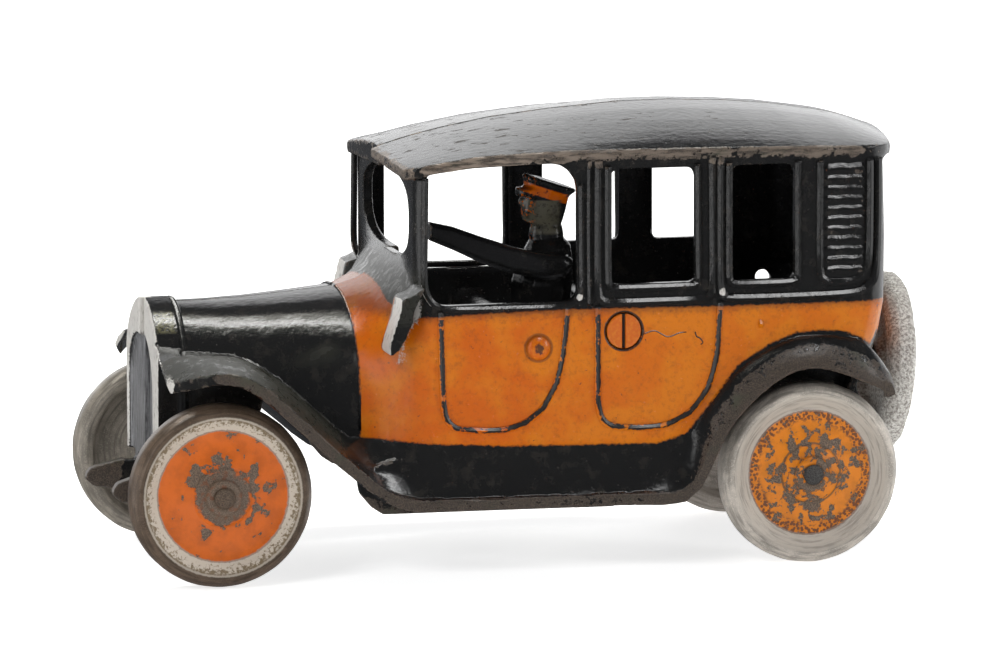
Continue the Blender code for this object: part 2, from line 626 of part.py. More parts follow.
    # Half of the round boss on the back that carries the spare wheel.
    seat = SPARE_BACK_X - SPARE_W + 1.6 * MM
    lean = math.tan(SPARE_TILT)
    boss_ring = []
    for k in range(9):
        angle = math.pi * k / 8.0
        boss_ring.append((PLANE + SPARE_BOSS_R * math.sin(angle),
                          SPARE_BOSS_R * math.cos(angle)))
    base_x = rear_x(SPARE_Z) - 1.0 * MM
    boss = loft("boss", [
        [(base_x, y, SPARE_Z + z) for y, z in boss_ring],
        [(seat + z * lean, y, SPARE_Z + z) for y, z in boss_ring]])
    combine(shell, "UNION", [boss])

    cutters = []
    front_top = GUTTER_Z - ROOF_RIM
    x0, x1 = half["front_window"]
    cutters.append(side_prism("front_window", rounded([
        (x0, half["sill"], 4.5 * MM), (x0, front_top - 2.1 * MM - droop, 0.0),
        (x0 + 11.0 * MM, front_top - 0.8 * MM - droop * 0.6, 0.0),
        (x1, front_top - 0.1 * MM, 6.5 * MM), (x1, half["sill"], 3.0 * MM)]),
        BODY_HALF_W - 9.0 * MM, BODY_HALF_W + 9.0 * MM))
    for x0, x1 in (half["door_window"], QUARTER_WINDOW):
        cutters.append(side_prism("side_window", rounded([
            (x0, SIDE_SILL, 1.2 * MM), (x0, SIDE_WINDOW_TOP, 1.8 * MM),
            (x1, SIDE_WINDOW_TOP, 1.8 * MM), (x1, SIDE_SILL, 1.2 * MM)], 3),
            BODY_HALF_W - 9.0 * MM, BODY_HALF_W + 9.0 * MM))
    screen = []
    for k in range(17):
        angle = math.pi / 2.0 - math.pi * k / 16.0
        screen.append((SCREEN_HALF_W * max(math.cos(angle), 0.0) ** (2.0 / 3.0),
                       (SCREEN_TOP + SCREEN_BOTTOM) / 2.0
                       + (SCREEN_TOP - SCREEN_BOTTOM) / 2.0
                       * math.copysign(abs(math.sin(angle)) ** (2.0 / 3.0), math.sin(angle))))
    middle = (SCREEN_TOP + SCREEN_BOTTOM) / 2.0
    screen = [(y, z - 1.6 * droop * y / SCREEN_HALF_W * max(0.0, z - middle)
               / (SCREEN_TOP - SCREEN_BOTTOM)) for y, z in screen]
    screen = [(past, screen[0][1])] + screen[1:-1] + [(past, screen[-1][1])]
    cutters.append(front_prism("screen", screen, cab_front - 0.7 * MM, cab_front + 5.0 * MM))
    core = [(side * CORE_OFFSET + y, z)
            for y, z in arch(CORE_HALF_W, CORE_TOP, CORE_HALF_W, 2.0, 24.0 * MM, 0.0)[1:]]
    core += [(2.0 * side * CORE_OFFSET - y, z) for y, z in core[:0:-1]]
    cutters.append(front_prism("core", core, nose_x - 2.0 * MM, nose_x + CORE_DEPTH))
    for x in (0.0, WHEELBASE):
        cutters.append(rod("axle_hole", AXLE_R + AXLE_PLAY, (x, 8.0 * MM, WHEEL_R),
                           (x, 34.0 * MM, WHEEL_R)))
    cutters.append(rod("rivet_hole", RIVET_R + FIT_GAP, (RIVET_X, past, RIVET_Z),
                       (RIVET_X, 60.0 * MM, RIVET_Z), 16))
    if side < 0:
        cutters.append(rod("screw_hole", SCREW_R + FIT_GAP, (SCREW_X, past, SCREW_Z),
                           (SCREW_X, 60.0 * MM, SCREW_Z), 16))
        cutters.append(rod("screw_seat", SCREW_HEAD_R + FIT_GAP,
                           (SCREW_X, BODY_HALF_W - SCREW_HEAD_H, SCREW_Z),
                           (SCREW_X, 60.0 * MM, SCREW_Z), 24))
    else:
        cutters.append(rod("thread_hole", SCREW_R + FIT_GAP, (SCREW_X, past, SCREW_Z),
                           (SCREW_X, 24.0 * MM, SCREW_Z), 16))
        cutters.append(rod("small_hole", 2.0 * MM, (156.5 * MM, 30.0 * MM, 60.0 * MM),
                           (156.5 * MM, 60.0 * MM, 60.0 * MM), 12))
    spare_axis = Vector((math.cos(SPARE_TILT), 0.0, -math.sin(SPARE_TILT)))
    middle = Vector((SPARE_BACK_X, 0.0, SPARE_Z))
    cutters.append(rod("spare_hole", RIVET_R + FIT_GAP, middle - spare_axis * 30.0 * MM,
                       middle + spare_axis * 10.0 * MM, 16))
    combine(shell, "DIFFERENCE", cutters)

    # Louvres stand proud of the panel behind the quarter window.
    pitch = (SIDE_WINDOW_TOP - SIDE_SILL - 1.0 * MM) / LOUVRE_COUNT
    low = BODY_HALF_W + 0.1 * MM
    comb = [(BODY_HALF_W - 1.3 * MM, SIDE_SILL + 0.5 * MM)]
    for k in range(LOUVRE_COUNT):
        z = SIDE_SILL + 0.5 * MM + pitch * k
        comb += [(low, z), (low + LOUVRE_RELIEF, z + pitch * 0.12),
                 (low + LOUVRE_RELIEF * 0.6, z + pitch * 0.5), (low, z + pitch * 0.74)]
    comb.append((BODY_HALF_W - 1.3 * MM, comb[-1][1]))
    combine(shell, "UNION", [front_prism("louvres", comb, *LOUVRES)])
    return mirrored(shell, side)


def wheel(name, steps=32):
    """Cast wheel: rounded tyre, sloped rim, dished disc, stepped hub. Outboard is +Z."""
    half = WHEEL_W / 2.0
    bore = AXLE_R + AXLE_PLAY
    inner = TRACK_HALF - BEARING_Y - FIT_GAP
    profile = [
        (bore, half + HUB_OUT), (HUB_R, half + HUB_OUT), (HUB_R, half - 0.3 * MM),
        (7.0 * MM, half - 0.6 * MM), (7.2 * MM, half - 1.3 * MM), (DISC_R, half - 2.4 * MM),
        (RIM_R, half - 0.2 * MM), (RIM_R + 1.2 * MM, half), (WHEEL_R - 0.9 * MM, half - 1.3 * MM),
        (WHEEL_R, half - 3.2 * MM), (WHEEL_R, -half + 3.2 * MM),
        (WHEEL_R - 0.9 * MM, -half + 1.3 * MM), (RIM_R + 0.8 * MM, -half),
        (RIM_R - 1.0 * MM, -half + 0.4 * MM), (RIM_R - 1.8 * MM, half - 4.8 * MM),
        (6.0 * MM, half - 3.8 * MM), (5.0 * MM, -inner), (bore, -inner), (bore, half + HUB_OUT)]
    return turned(name, profile, steps)


def put(ob, parent, location, paint, angle=35.0):
    ob.parent = parent
    ob.location = location
    ob.data.materials.clear()
    ob.data.materials.append(paint)
    ob.data.shade_smooth()
    ob.data.set_sharp_from_angle(angle=math.radians(angle))
    return ob


PAINT = material("black_enamel", (0.012, 0.012, 0.013), 0.32, 0.0)
ORANGE = material("orange_enamel", (0.78, 0.24, 0.03), 0.42, 0.0)
IRON = material("bare_iron", (0.36, 0.33, 0.30), 0.5, 0.85)
BRIGHT = material("bright_iron", (0.60, 0.59, 0.56), 0.45, 0.9)

left = body_half("body_half_left", LEFT)
right = body_half("body_half_right", RIGHT)
put(left, CHASSIS, (0.0, 0.0, 0.0), PAINT)
put(right, CHASSIS, (0.0, 0.0, 0.0), PAINT)

# Axles with their wheels. The heads are peened over the hubs.
hub_face = TRACK_HALF + WHEEL_W / 2.0 + HUB_OUT + FIT_GAP
for axle_name, x, corner_names in (
        ("front_axle", 0.0, ("wheel_front_left", "wheel_front_right")),
        ("rear_axle", WHEELBASE, ("wheel_rear_left", "wheel_rear_right"))):
    top = hub_face + AXLE_HEAD_H
    axle = turned(axle_name, [
        (0.0, top), (AXLE_HEAD_R * 0.7, top), (AXLE_HEAD_R, top - AXLE_HEAD_H * 0.5),
        (AXLE_HEAD_R, hub_face), (AXLE_R, hub_face), (AXLE_R, -hub_face),
        (AXLE_HEAD_R, -hub_face), (AXLE_HEAD_R, -top + AXLE_HEAD_H * 0.5),
        (AXLE_HEAD_R * 0.7, -top), (0.0, -top)], 16)
    lay_along(axle, (0.0, -1.0, 0.0))
    put(axle, CHASSIS, (x, 0.0, WHEEL_R), IRON)
    for side, corner in zip((-1, 1), corner_names):
        made = lay_along(wheel(corner), (0.0, float(side), 0.0))
        put(made, axle, (0.0, side * TRACK_HALF, 0.0), ORANGE)


def spare_wheel():
    """Dished spare wheel, its open side toward the car. Backward is +Z."""
    hub = SPARE_W - 1.6 * MM
    profile = [
        (RIVET_R + FIT_GAP, 0.0), (SPARE_R - 4.0 * MM, 0.0), (SPARE_R - 0.8 * MM, -0.5 * MM),
        (SPARE_R, -1.6 * MM), (SPARE_R, -SPARE_W + 2.6 * MM),
        (SPARE_R - 1.2 * MM, -SPARE_W + 0.8 * MM), (SPARE_R - 3.4 * MM, -SPARE_W),
        (SPARE_R - 6.0 * MM, -SPARE_W + 0.8 * MM), (SPARE_R - 7.0 * MM, -2.4 * MM),
        (SPARE_BOSS_R + 1.6 * MM, -2.4 * MM), (SPARE_BOSS_R, -hub + FIT_GAP),
        (RIVET_R + FIT_GAP, -hub + FIT_GAP), (RIVET_R + FIT_GAP, 0.0)]
    return turned("spare_wheel", profile, 30)


tilt = Matrix.Rotation(math.pi / 2.0 + SPARE_TILT, 4, "Y")
spare = spare_wheel()
spare.data.transform(tilt)
put(spare, CHASSIS, (SPARE_BACK_X, 0.0, SPARE_Z), BRIGHT)
reach = SPARE_BACK_X - rear_x(SPARE_Z) + WALL + FIT_GAP + 1.4 * MM
spare_rivet = turned("spare_rivet", [
    (0.0, RIVET_HEAD_H), (RIVET_HEAD_R * 0.7, RIVET_HEAD_H * 0.75),
    (RIVET_HEAD_R, FIT_GAP), (RIVET_R, FIT_GAP), (RIVET_R, -reach),
    (RIVET_HEAD_R, -reach), (RIVET_HEAD_R * 0.7, -reach - RIVET_HEAD_H * 0.75),
    (0.0, -reach - RIVET_HEAD_H)], 16)
spare_rivet.data.transform(tilt)
put(spare_rivet, CHASSIS, (SPARE_BACK_X, 0.0, SPARE_Z), IRON)

# Rivet through the front posts, screw through the rear ones.
grip = BODY_HALF_W + FIT_GAP
door_rivet = turned("door_rivet", [
    (0.0, grip + RIVET_HEAD_H), (RIVET_HEAD_R * 0.6, grip + RIVET_HEAD_H * 0.85),
    (RIVET_HEAD_R, grip + 0.3 * MM), (RIVET_HEAD_R, grip), (RIVET_R, grip), (RIVET_R, -grip),
    (RIVET_HEAD_R, -grip), (RIVET_HEAD_R, -grip - 0.3 * MM),
    (RIVET_HEAD_R * 0.6, -grip - RIVET_HEAD_H * 0.85), (0.0, -grip - RIVET_HEAD_H)], 20)
lay_along(door_rivet, (0.0, -1.0, 0.0))
put(door_rivet, CHASSIS, (RIVET_X, 0.0, RIVET_Z), IRON)

head_top = SCREW_HEAD_H - FIT_GAP
body_screw = turned("body_screw", [
    (0.0, head_top), (SCREW_HEAD_R, head_top), (SCREW_HEAD_R, 0.0), (SCREW_R, 0.0),
    (SCREW_R, -BODY_HALF_W - 20.0 * MM), (0.0, -BODY_HALF_W - 21.0 * MM)], 24)
bm = bmesh.new()
bmesh.ops.create_cube(bm, size=1.0)
bmesh.ops.scale(bm, vec=(SCREW_SLOT, SCREW_HEAD_R * 3.0, SCREW_HEAD_H), verts=bm.verts)
bmesh.ops.translate(bm, vec=(0.0, 0.0, head_top), verts=bm.verts)
combine(body_screw, "DIFFERENCE", [from_bmesh("slot", bm)])
body_screw.data.transform(Matrix.Rotation(math.pi / 2.0, 4, "X"))
put(body_screw, CHASSIS, (SCREW_X, -BODY_HALF_W + SCREW_HEAD_H - FIT_GAP, SCREW_Z), ORANGE)


def oval(x, y, z, rx, ry, count=12):
    return [(x + rx * math.cos(2.0 * math.pi * k / count),
             y + ry * math.sin(2.0 * math.pi * k / count), z) for k in range(count)]


def driver_figure():
    """Half figure with one straight arm, its base pierced for the front post."""
    torso = loft("driver", [oval(x * MM, 0.0, z * MM, rx * MM, ry * MM) for x, z, rx, ry in (
        (84.6, 58.0, 6.4, 7.4), (85.4, 63.6, 7.5, 8.4), (85.6, 68.7, 7.7, 9.2),
        (86.6, 74.0, 6.8, 9.0), (87.4, 78.0, 5.5, 6.8), (86.9, 79.7, 4.2, 4.6),
        (86.9, 81.0, 4.0, 4.0))])
    head = loft("head", [oval(x * MM, 0.0, z * MM, rx * MM, ry * MM) for x, z, rx, ry in (
        (86.8, 80.0, 4.5, 4.6), (86.8, 82.3, 4.1, 4.2), (86.9, 82.9, 3.7, 3.6),
        (86.0, 84.1, 5.1, 4.2), (86.1, 86.4, 5.7, 4.8), (86.5, 89.0, 5.9, 5.0),
        (86.8, 91.4, 5.4, 4.8))])
    bm = bmesh.new()
    bmesh.ops.create_uvsphere(bm, u_segments=8, v_segments=6, radius=1.2 * MM)
    bmesh.ops.translate(bm, vec=(80.9 * MM, 0.0, 88.7 * MM), verts=bm.verts)
    nose = from_bmesh("nose", bm)
    tilt_back = Matrix.Rotation(math.radians(18.4), 4, "Y")
    cap = loft("cap", [oval(x * MM, 0.0, lift * MM, rx * MM, ry * MM) for x, lift, rx, ry in (
        (0.0, -2.0, 5.8, 5.2), (0.0, 0.6, 6.1, 5.6), (0.1, 2.0, 7.1, 6.6), (0.1, 2.6, 6.8, 6.2))])
    cap.data.transform(Matrix.Translation((86.8 * MM, 0.0, 91.2 * MM)) @ tilt_back)
    peak = loft("peak", [oval(82.6 * MM, 0.0, z * MM, 3.5 * MM, 4.3 * MM) for z in (90.3, 92.2)])
    arm_y = -7.6 * MM
    arm = loft("arm", [
        [(x * MM, arm_y + across * MM, z * MM) for across, z in (
            (-half, low + 1.2), (-half + 1.2, low), (half - 1.2, low), (half, low + 1.2),
            (half, high - 1.2), (half - 1.2, high), (-half + 1.2, high), (-half, high - 1.2))]
        for x, low, high, half in (
            (55.4, 81.0, 85.5, 2.2), (61.4, 78.4, 84.1, 2.6), (68.5, 74.9, 81.4, 2.8),
            (75.7, 72.3, 78.9, 3.0), (84.0, 70.5, 76.8, 3.2), (89.0, 71.0, 76.4, 3.0),
            (91.4, 72.6, 75.4, 2.0))])
    base = side_prism("base", rounded([
        (RIVET_X - POST_R - 2.6 * MM, RIVET_Z - POST_R - 2.6 * MM, 4.0 * MM),
        (RIVET_X - POST_R - 2.6 * MM, 62.2 * MM, 2.0 * MM),
        (RIVET_X + 11.2 * MM, 62.6 * MM, 0.0),
        (RIVET_X + 11.2 * MM, RIVET_Z - POST_R - 2.6 * MM, 2.0 * MM)]),
        -4.0 * MM, 4.0 * MM)
    eye = rod("eye", POST_R + FIT_GAP, (RIVET_X, -12.0 * MM, RIVET_Z),
              (RIVET_X, 12.0 * MM, RIVET_Z), 20)
    combine(torso, "UNION", [head, nose, cap, peak, arm, base])
    combine(torso, "DIFFERENCE", [eye])
    return torso


put(driver_figure(), CHASSIS, (0.0, -DRIVER_Y, 0.0), PAINT, 50.0)
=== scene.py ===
# %% [markdown]
# # A cast iron toy taxi, dressed
#
# The real toy is two hollow half castings pulled together by one screw, with a driver between
# them, four cast wheels on two axles, and a spare wheel riveted to the back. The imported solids
# give every size and place. This script dresses them in worn, glossy enamel.
#
# Poured iron has no crisp edges, and its mouldings melt into the walls. Bevelling hundreds of
# edges by hand would be one way. Here each half is remeshed and relaxed instead, thin strips are
# laid on it, and paint, chips and bare metal follow from where a point lies on the car.

import math

import bmesh
import bpy
import numpy as np
from mathutils import Matrix, Vector, noise


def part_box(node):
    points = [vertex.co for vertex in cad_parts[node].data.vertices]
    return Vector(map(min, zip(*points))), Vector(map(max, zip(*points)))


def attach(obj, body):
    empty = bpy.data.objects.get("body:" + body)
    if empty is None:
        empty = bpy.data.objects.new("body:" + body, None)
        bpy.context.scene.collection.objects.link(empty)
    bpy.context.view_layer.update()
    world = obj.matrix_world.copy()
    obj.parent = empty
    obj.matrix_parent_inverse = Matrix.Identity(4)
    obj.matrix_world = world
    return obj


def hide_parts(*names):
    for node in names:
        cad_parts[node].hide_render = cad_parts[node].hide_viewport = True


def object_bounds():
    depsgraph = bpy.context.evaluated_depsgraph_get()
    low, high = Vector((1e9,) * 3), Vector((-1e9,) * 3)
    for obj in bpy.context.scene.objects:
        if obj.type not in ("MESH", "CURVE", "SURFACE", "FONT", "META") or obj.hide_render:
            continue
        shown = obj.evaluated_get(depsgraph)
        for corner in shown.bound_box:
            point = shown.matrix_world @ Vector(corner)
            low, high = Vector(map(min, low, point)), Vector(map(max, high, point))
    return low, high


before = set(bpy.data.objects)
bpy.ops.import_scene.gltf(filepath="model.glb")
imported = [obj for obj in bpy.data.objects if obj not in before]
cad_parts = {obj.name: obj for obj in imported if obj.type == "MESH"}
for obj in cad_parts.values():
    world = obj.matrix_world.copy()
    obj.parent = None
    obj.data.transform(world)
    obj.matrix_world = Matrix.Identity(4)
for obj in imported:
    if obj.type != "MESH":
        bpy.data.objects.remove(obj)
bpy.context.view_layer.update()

# %% [markdown]
# ## Stations
#
# Paint lines and turned wheels have to sit on the solids. Their places could be typed in, but
# then a change in the part's source would leave them behind, so axles and wheels are measured
# from their own boxes. The cab's half width, its round back corner and the track, which many
# paint lines are laid out on, are named in millimetres.

# %%
# Stations taken from the frame
MM = 0.001


def middle(node):
    low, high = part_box(node)
    return (low + high) / 2.0


AXLE_FRONT = middle("front_axle")
AXLE_REAR = middle("rear_axle")
WHEEL_R = (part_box("wheel_front_left")[1].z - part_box("wheel_front_left")[0].z) / 2.0 / MM
WHEELBASE = (AXLE_REAR.x - AXLE_FRONT.x) / MM
SIDE_Y = 40.2
TRACK = 37.4
CORNER_R = 9.4
CAB_REAR = 168.6
print("wheel radius", round(WHEEL_R, 2), "wheelbase", round(WHEELBASE, 2))

# %% [markdown]
# ## Two ways to say where
#
# The frame counts in metres from the middle of the car. Someone with the toy on a bench would
# lay a rule on it from the front axle, in millimetres, with X toward the back, Y toward the
# right side and Z up. Paint lines are easier to lay out that way, so two helpers go from one to
# the other.

# %%
# Bench millimetres and frame metres


def to_part(points):
    """Millimetres from the front axle to metres in the part's frame."""
    return np.asarray(points, float) * MM + np.array([AXLE_FRONT.x, 0.0, 0.0])


def to_car(points):
    """Metres in the part's frame to millimetres from the front axle."""
    return (np.asarray(points, float) - np.array([AXLE_FRONT.x, 0.0, 0.0])) / MM


print("rear axle from the front one, mm:", to_car(AXLE_REAR).round(2))

# %% [markdown]
# ## Short calls for shader nodes
#
# A worn finish needs dozens of small nodes. They could be dragged together in the shader
# editor, but a script that wires each by hand hides the idea, so one class does the wiring: it
# makes a node, feeds its sockets and adds or multiplies two values in one short call.

# %%
# Wiring


class Wiring:
    """One material's node tree. Coordinates are millimetres from the front axle."""

    def __init__(self, name):
        self.material = bpy.data.materials.new(name)
        self.material.use_nodes = True
        self.tree = self.material.node_tree
        self.shader = self.tree.nodes["Principled BSDF"]
        where = self.put("ShaderNodeTexCoord").outputs["Object"]
        moved = self.vector("SUBTRACT", where, (AXLE_FRONT.x, 0.0, 0.0))
        self.place = self.put("ShaderNodeVectorMath", {0: moved, "Scale": 1.0 / MM},
                              operation="SCALE").outputs[0]

    def put(self, kind, inputs=None, **settings):
        node = self.tree.nodes.new(kind)
        for key, value in settings.items():
            setattr(node, key, value)
        for key, value in (inputs or {}).items():
            self.feed(node.inputs[key], value)
        return node

    def feed(self, socket, value):
        if isinstance(value, bpy.types.NodeSocket):
            self.tree.links.new(value, socket)
        elif socket.type == "RGBA" and len(value) == 3:
            socket.default_value = (*value, 1.0)
        else:
            socket.default_value = value

    def vector(self, operation, a, b):
        return self.put("ShaderNodeVectorMath", {0: a, 1: b}, operation=operation).outputs[0]

    def math(self, operation, a, b=0.0, clamp=False):
        node = self.put("ShaderNodeMath", {0: a, 1: b}, operation=operation, use_clamp=clamp)
        return node.outputs[0]

    def add(self, a, b):
        return self.math("ADD", a, b)

    def times(self, a, b):
        return self.math("MULTIPLY", a, b)

    def length(self, a, b):
        return self.math("SQRT", self.add(self.times(a, a), self.times(b, b)))


# %% [markdown]
# ## Patterns
#
# Paint wears in patches, and every patch is made of the same few patterns: a cloud of noise, a
# soft step that cuts it to an edge, a mix of two colours by that step, and a shallow relief. All
# read the object's own coordinates or numbers painted on the mesh, so nothing slides when the
# camera moves.

# %%
# Patterns, and the finished material


class Graph(Wiring):
    """Wiring, with the patterns that worn paint is made of."""

    def rise(self, value, low, high):
        """0 below low, 1 above high, smooth between. Low above high falls instead."""
        if low > high:
            return self.math("SUBTRACT", 1.0, self.rise(value, high, low))
        node = self.put("ShaderNodeMapRange", {"Value": value, "From Min": low, "From Max": high},
                        interpolation_type="SMOOTHSTEP")
        return node.outputs["Result"]

    def level(self, t, a, b):
        """Number between a and b."""
        return self.put("ShaderNodeMix", {0: t, 2: a, 3: b}, data_type="FLOAT").outputs[0]

    def tint(self, t, a, b):
        """Colour between a and b."""
        node = self.put("ShaderNodeMix", {0: t, 6: a, 7: b}, data_type="RGBA")
        return node.outputs[2]

    def cloud(self, size, detail=3.0, rough=0.55, stretch=None, place=None):
        """Noise with features of about this size in millimetres, around 0.5."""
        place = self.place if place is None else place
        if stretch:
            place = self.vector("MULTIPLY", place, stretch)
        return self.put("ShaderNodeTexNoise", {
            "Vector": place, "Scale": 1.0 / size, "Detail": detail, "Roughness": rough}).outputs[0]

    def pits(self, size, place=None):
        """Distance to the nearest scattered point, in cells of this size."""
        return self.put("ShaderNodeTexVoronoi", {
            "Vector": self.place if place is None else place, "Scale": 1.0 / size}).outputs[0]

    def mark(self, name):
        """A number painted on the mesh."""
        return self.put("ShaderNodeAttribute", attribute_name=name).outputs["Fac"]

    def axis(self, index, place=None):
        split = self.put("ShaderNodeSeparateXYZ", {0: self.place if place is None else place})
        return split.outputs[index]

    def bump(self, height, depth, after=None):
        """Relief of this depth in millimetres."""
        node = self.put("ShaderNodeBump", {"Height": height, "Distance": depth * MM})
        if after is not None:
            self.feed(node.inputs["Normal"], after)
        return node.outputs[0]

    def finish(self, colour, roughness, metallic=0.0, normal=None, specular=0.5):
        """Wire the shader and hand back the material."""
        self.feed(self.shader.inputs["Base Color"], colour)
        self.feed(self.shader.inputs["Roughness"], roughness)
        self.feed(self.shader.inputs["Metallic"], metallic)
        self.shader.inputs["Specular IOR Level"].default_value = specular
        if normal is not None:
            self.feed(self.shader.inputs["Normal"], normal)
        return self.material


# %% [markdown]
# ## Colours
#
# Two enamels cover the iron, black and orange. Where they wore off, the iron is brown with age,
# or bright where it is still rubbed. Shaders count in linear light, so each colour is written
# that way, dark enough to look right under plain lamps.

# %%
# Colours, linear
BLACK = (0.010, 0.010, 0.010)
SOOT_AND_SHADE = (0.022, 0.020, 0.018)
# Soot black: dirt and old paint, and also painted shade in the rings round the rivet and screw and
# in the screw's slot.
OLIVE = (0.055, 0.055, 0.038)
ORANGE = (0.52, 0.098, 0.0)
ORANGE_PALE = (0.57, 0.155, 0.003)
ORANGE_DIRT = (0.22, 0.055, 0.008)
IRON = (0.100, 0.076, 0.058)
IRON_PALE = (0.21, 0.165, 0.130)
IRON_DARK = (0.032, 0.026, 0.022)
SILVER = (0.62, 0.60, 0.57)
RUST = (0.16, 0.055, 0.022)
print("black reflects", BLACK[0], "and bright metal", SILVER[0])

# %% [markdown]
# ## The body's two colours
#
# The orange of the lower body has a soft edge, as if sprayed over a mask. An image texture could
# hold that, but it would need an unwrapped mesh. Here each vertex carries its distance from the
# edge of the orange, and a little noise frays the step between the colours. The orange is more
# golden toward the back and spotted with dirt.

# %%
# Orange below, black above


def two_colours(g, fine, broad):
    """How orange each point is, and the colour of both enamels."""
    jitter = g.times(g.add(fine, -0.5), 1.3)
    orange = g.rise(g.add(g.mark("orange"), jitter), -0.35, 0.35)
    golden = g.add(g.rise(broad, 0.35, 0.7), g.times(g.rise(g.axis(0), 70.0, 120.0), 0.5))
    warm = g.tint(golden, ORANGE, ORANGE_PALE)
    dirt = g.rise(g.cloud(2.2, 6.0, 0.72), 0.52, 0.74)
    warm = g.tint(g.times(dirt, 0.55), warm, ORANGE_DIRT)
    warm = g.tint(g.times(g.rise(fine, 0.5, 0.75), 0.35), warm, ORANGE_DIRT)
    specks = g.rise(g.cloud(1.6, 4.0, 0.75), 0.66, 0.70)
    warm = g.tint(specks, warm, SOOT_AND_SHADE)
    dark = g.tint(g.rise(g.cloud(4.0, 5.0, 0.65), 0.5, 0.72), BLACK, SOOT_AND_SHADE)
    dark = g.tint(g.times(g.mark("dull"), 0.30), dark, OLIVE)
    return orange, g.tint(orange, dark, warm)


# %% [markdown]
# ## Black lines on the orange
#
# The door outlines are raised beads that kept their black, broken where the paint flaked. The
# rivet and the screw each sit in a ring of painted shade, dark as the shadow in a groove. The
# beads are real strips, so only their colour is made here. The rings are so shallow that a
# colour by distance from the centre is enough.

# %%
# Door outlines, and painted shade in rings round the rivet and the screw
RIVET_SHADE_RING_R, SCREW_SHADE_RING_R = 3.35, 4.75


def outlined(g, colour, orange, fine, grit):
    kept = g.rise(g.add(g.mark("line"), g.times(g.add(fine, -0.5), 1.1)), 0.55, 0.35)
    flaked = g.rise(g.cloud(2.2, 4.0, 0.6), 0.36, 0.42)
    colour = g.tint(g.times(kept, flaked), colour, SOOT_AND_SHADE)
    # Painted shade: a dark ring round the rivet and the screw, where a groove would hold shadow.
    for node, radius, depth in (("door_rivet", RIVET_SHADE_RING_R, 0.45),
                                ("body_screw", SCREW_SHADE_RING_R, 0.95)):
        centre = to_car(middle(node))
        away = g.length(g.add(g.axis(0), -float(centre[0])), g.add(g.axis(2), -float(centre[2])))
        ring = g.rise(g.math("ABSOLUTE", g.add(away, -radius)), 0.45, 0.15)
        ring = g.times(ring, g.rise(g.add(fine, g.times(grit, 0.3)), 0.42, 0.56))
        if node == "body_screw":
            ring = g.times(ring, g.rise(g.axis(1), 0.0, -4.0))
        colour = g.tint(g.times(ring, g.times(orange, depth)), colour, SOOT_AND_SHADE)
    return colour


# %% [markdown]
# ## Knocks in the gloss
#
# A toy that was pushed about has nicks all over its black, rusty grains on the pillars, one
# olive patch on the radiator's left flank, and long chips on the roof that run front to back.
# Each is a noise cut to small islands and held to its place by a soft step in X, Y or Z. The
# stretch of the roof's noise gives the chips their length.

# %%
# Nicks, the olive patch, rusty grains and long chips
ROOF_Z = 100.0


def knocked(g, colour, orange, fine):
    """The colour with its knocks, and where the nicks and the roof's chips are."""
    x, z = g.axis(0), g.axis(2)
    nicks = g.rise(g.cloud(1.2, 4.0, 0.7), 0.66, 0.71)
    colour = g.tint(g.times(nicks, g.math("SUBTRACT", 1.0, orange)), colour, IRON_DARK)
    flank = g.rise(g.math("ABSOLUTE", g.add(x, 8.3)), 2.8, 1.9)
    flank = g.times(flank, g.rise(g.axis(1), 0.0, -4.0))
    flank = g.times(flank, g.rise(g.math("ABSOLUTE", g.add(z, -61.2)), 2.6, 1.7))
    colour = g.tint(g.times(flank, g.rise(fine, 0.40, 0.54)), colour, (0.10, 0.093, 0.050))
    grains = g.times(g.rise(g.cloud(0.6, 4.0, 0.7), 0.66, 0.72), g.rise(z, 62.0, 66.0))
    grains = g.times(grains, g.times(g.rise(x, 46.0, 50.0), g.rise(z, ROOF_Z + 1.0, ROOF_Z - 1.0)))
    colour = g.tint(g.times(grains, 0.6), colour, RUST)
    top = g.rise(z, ROOF_Z, ROOF_Z + 2.0)
    chips = g.cloud(2.2, 4.0, 0.62, (0.35, 0.9, 1.0))
    front = g.level(g.rise(x, 60.0, 150.0), 0.60, 0.70)
    chipped = g.times(top, g.rise(g.math("SUBTRACT", chips, front), 0.0, 0.02))
    return g.tint(chipped, colour, IRON_DARK), nicks, chipped


# %% [markdown]
# ## Bare metal
#
# Edges lose their paint first. The mesh carries one number for how worn a place is and another
# for how sharply it stands out, and noise decides where they win over the paint. On the roof's
# edge the iron is paler, most of all toward the front. The radiator's shell and the lamp lugs
# are rubbed bright, and its core is a dull grey in upright streaks.

# %%
# Brown iron, bright metal and the radiator's core


def bared(g, colour, fine, grit, broad):
    """The colour with its bare metal, and where brown iron and bright metal show."""
    x, z = g.axis(0), g.axis(2)
    amount = g.add(g.mark("iron"), g.times(g.mark("ridge"), 0.9))
    uneven = g.add(g.times(g.add(fine, -0.5), 1.2), g.times(g.add(g.cloud(4.0, 3.0), -0.5), 1.3))
    bare = g.rise(g.add(amount, uneven), 0.42, 0.62)
    brown = g.tint(g.rise(grit, 0.4, 0.65), IRON_DARK, IRON)
    brown = g.tint(g.rise(broad, 0.55, 0.75), brown, OLIVE)
    high = g.times(g.rise(z, ROOF_Z - 2.0, ROOF_Z - 0.5),
                   g.rise(g.cloud(1.4, 4.0, 0.6, (0.3, 1.0, 1.6)), 0.38, 0.6))
    high = g.times(high, g.level(g.rise(x, 62.0, 105.0), 1.0, 0.55))
    colour = g.tint(bare, colour, g.tint(high, brown, IRON_PALE))

    shine = g.add(g.mark("silver"), g.times(g.add(g.cloud(0.6, 5.0, 0.7), -0.5), 1.2))
    bright = g.rise(shine, 0.40, 0.70)
    metal = g.tint(g.rise(g.cloud(0.9, 5.0, 0.7, (1.0, 1.0, 0.4)), 0.22, 0.50), IRON, SILVER)
    colour = g.tint(bright, colour, metal)

    streaks = g.add(g.cloud(0.7, 4.0, 0.6, (1.0, 1.0, 0.10)), g.times(g.add(fine, -0.5), 0.25))
    grey = g.tint(g.rise(streaks, 0.34, 0.64), (0.060, 0.060, 0.062), (0.21, 0.21, 0.22))
    return g.tint(g.mark("core"), colour, grey), bare, bright


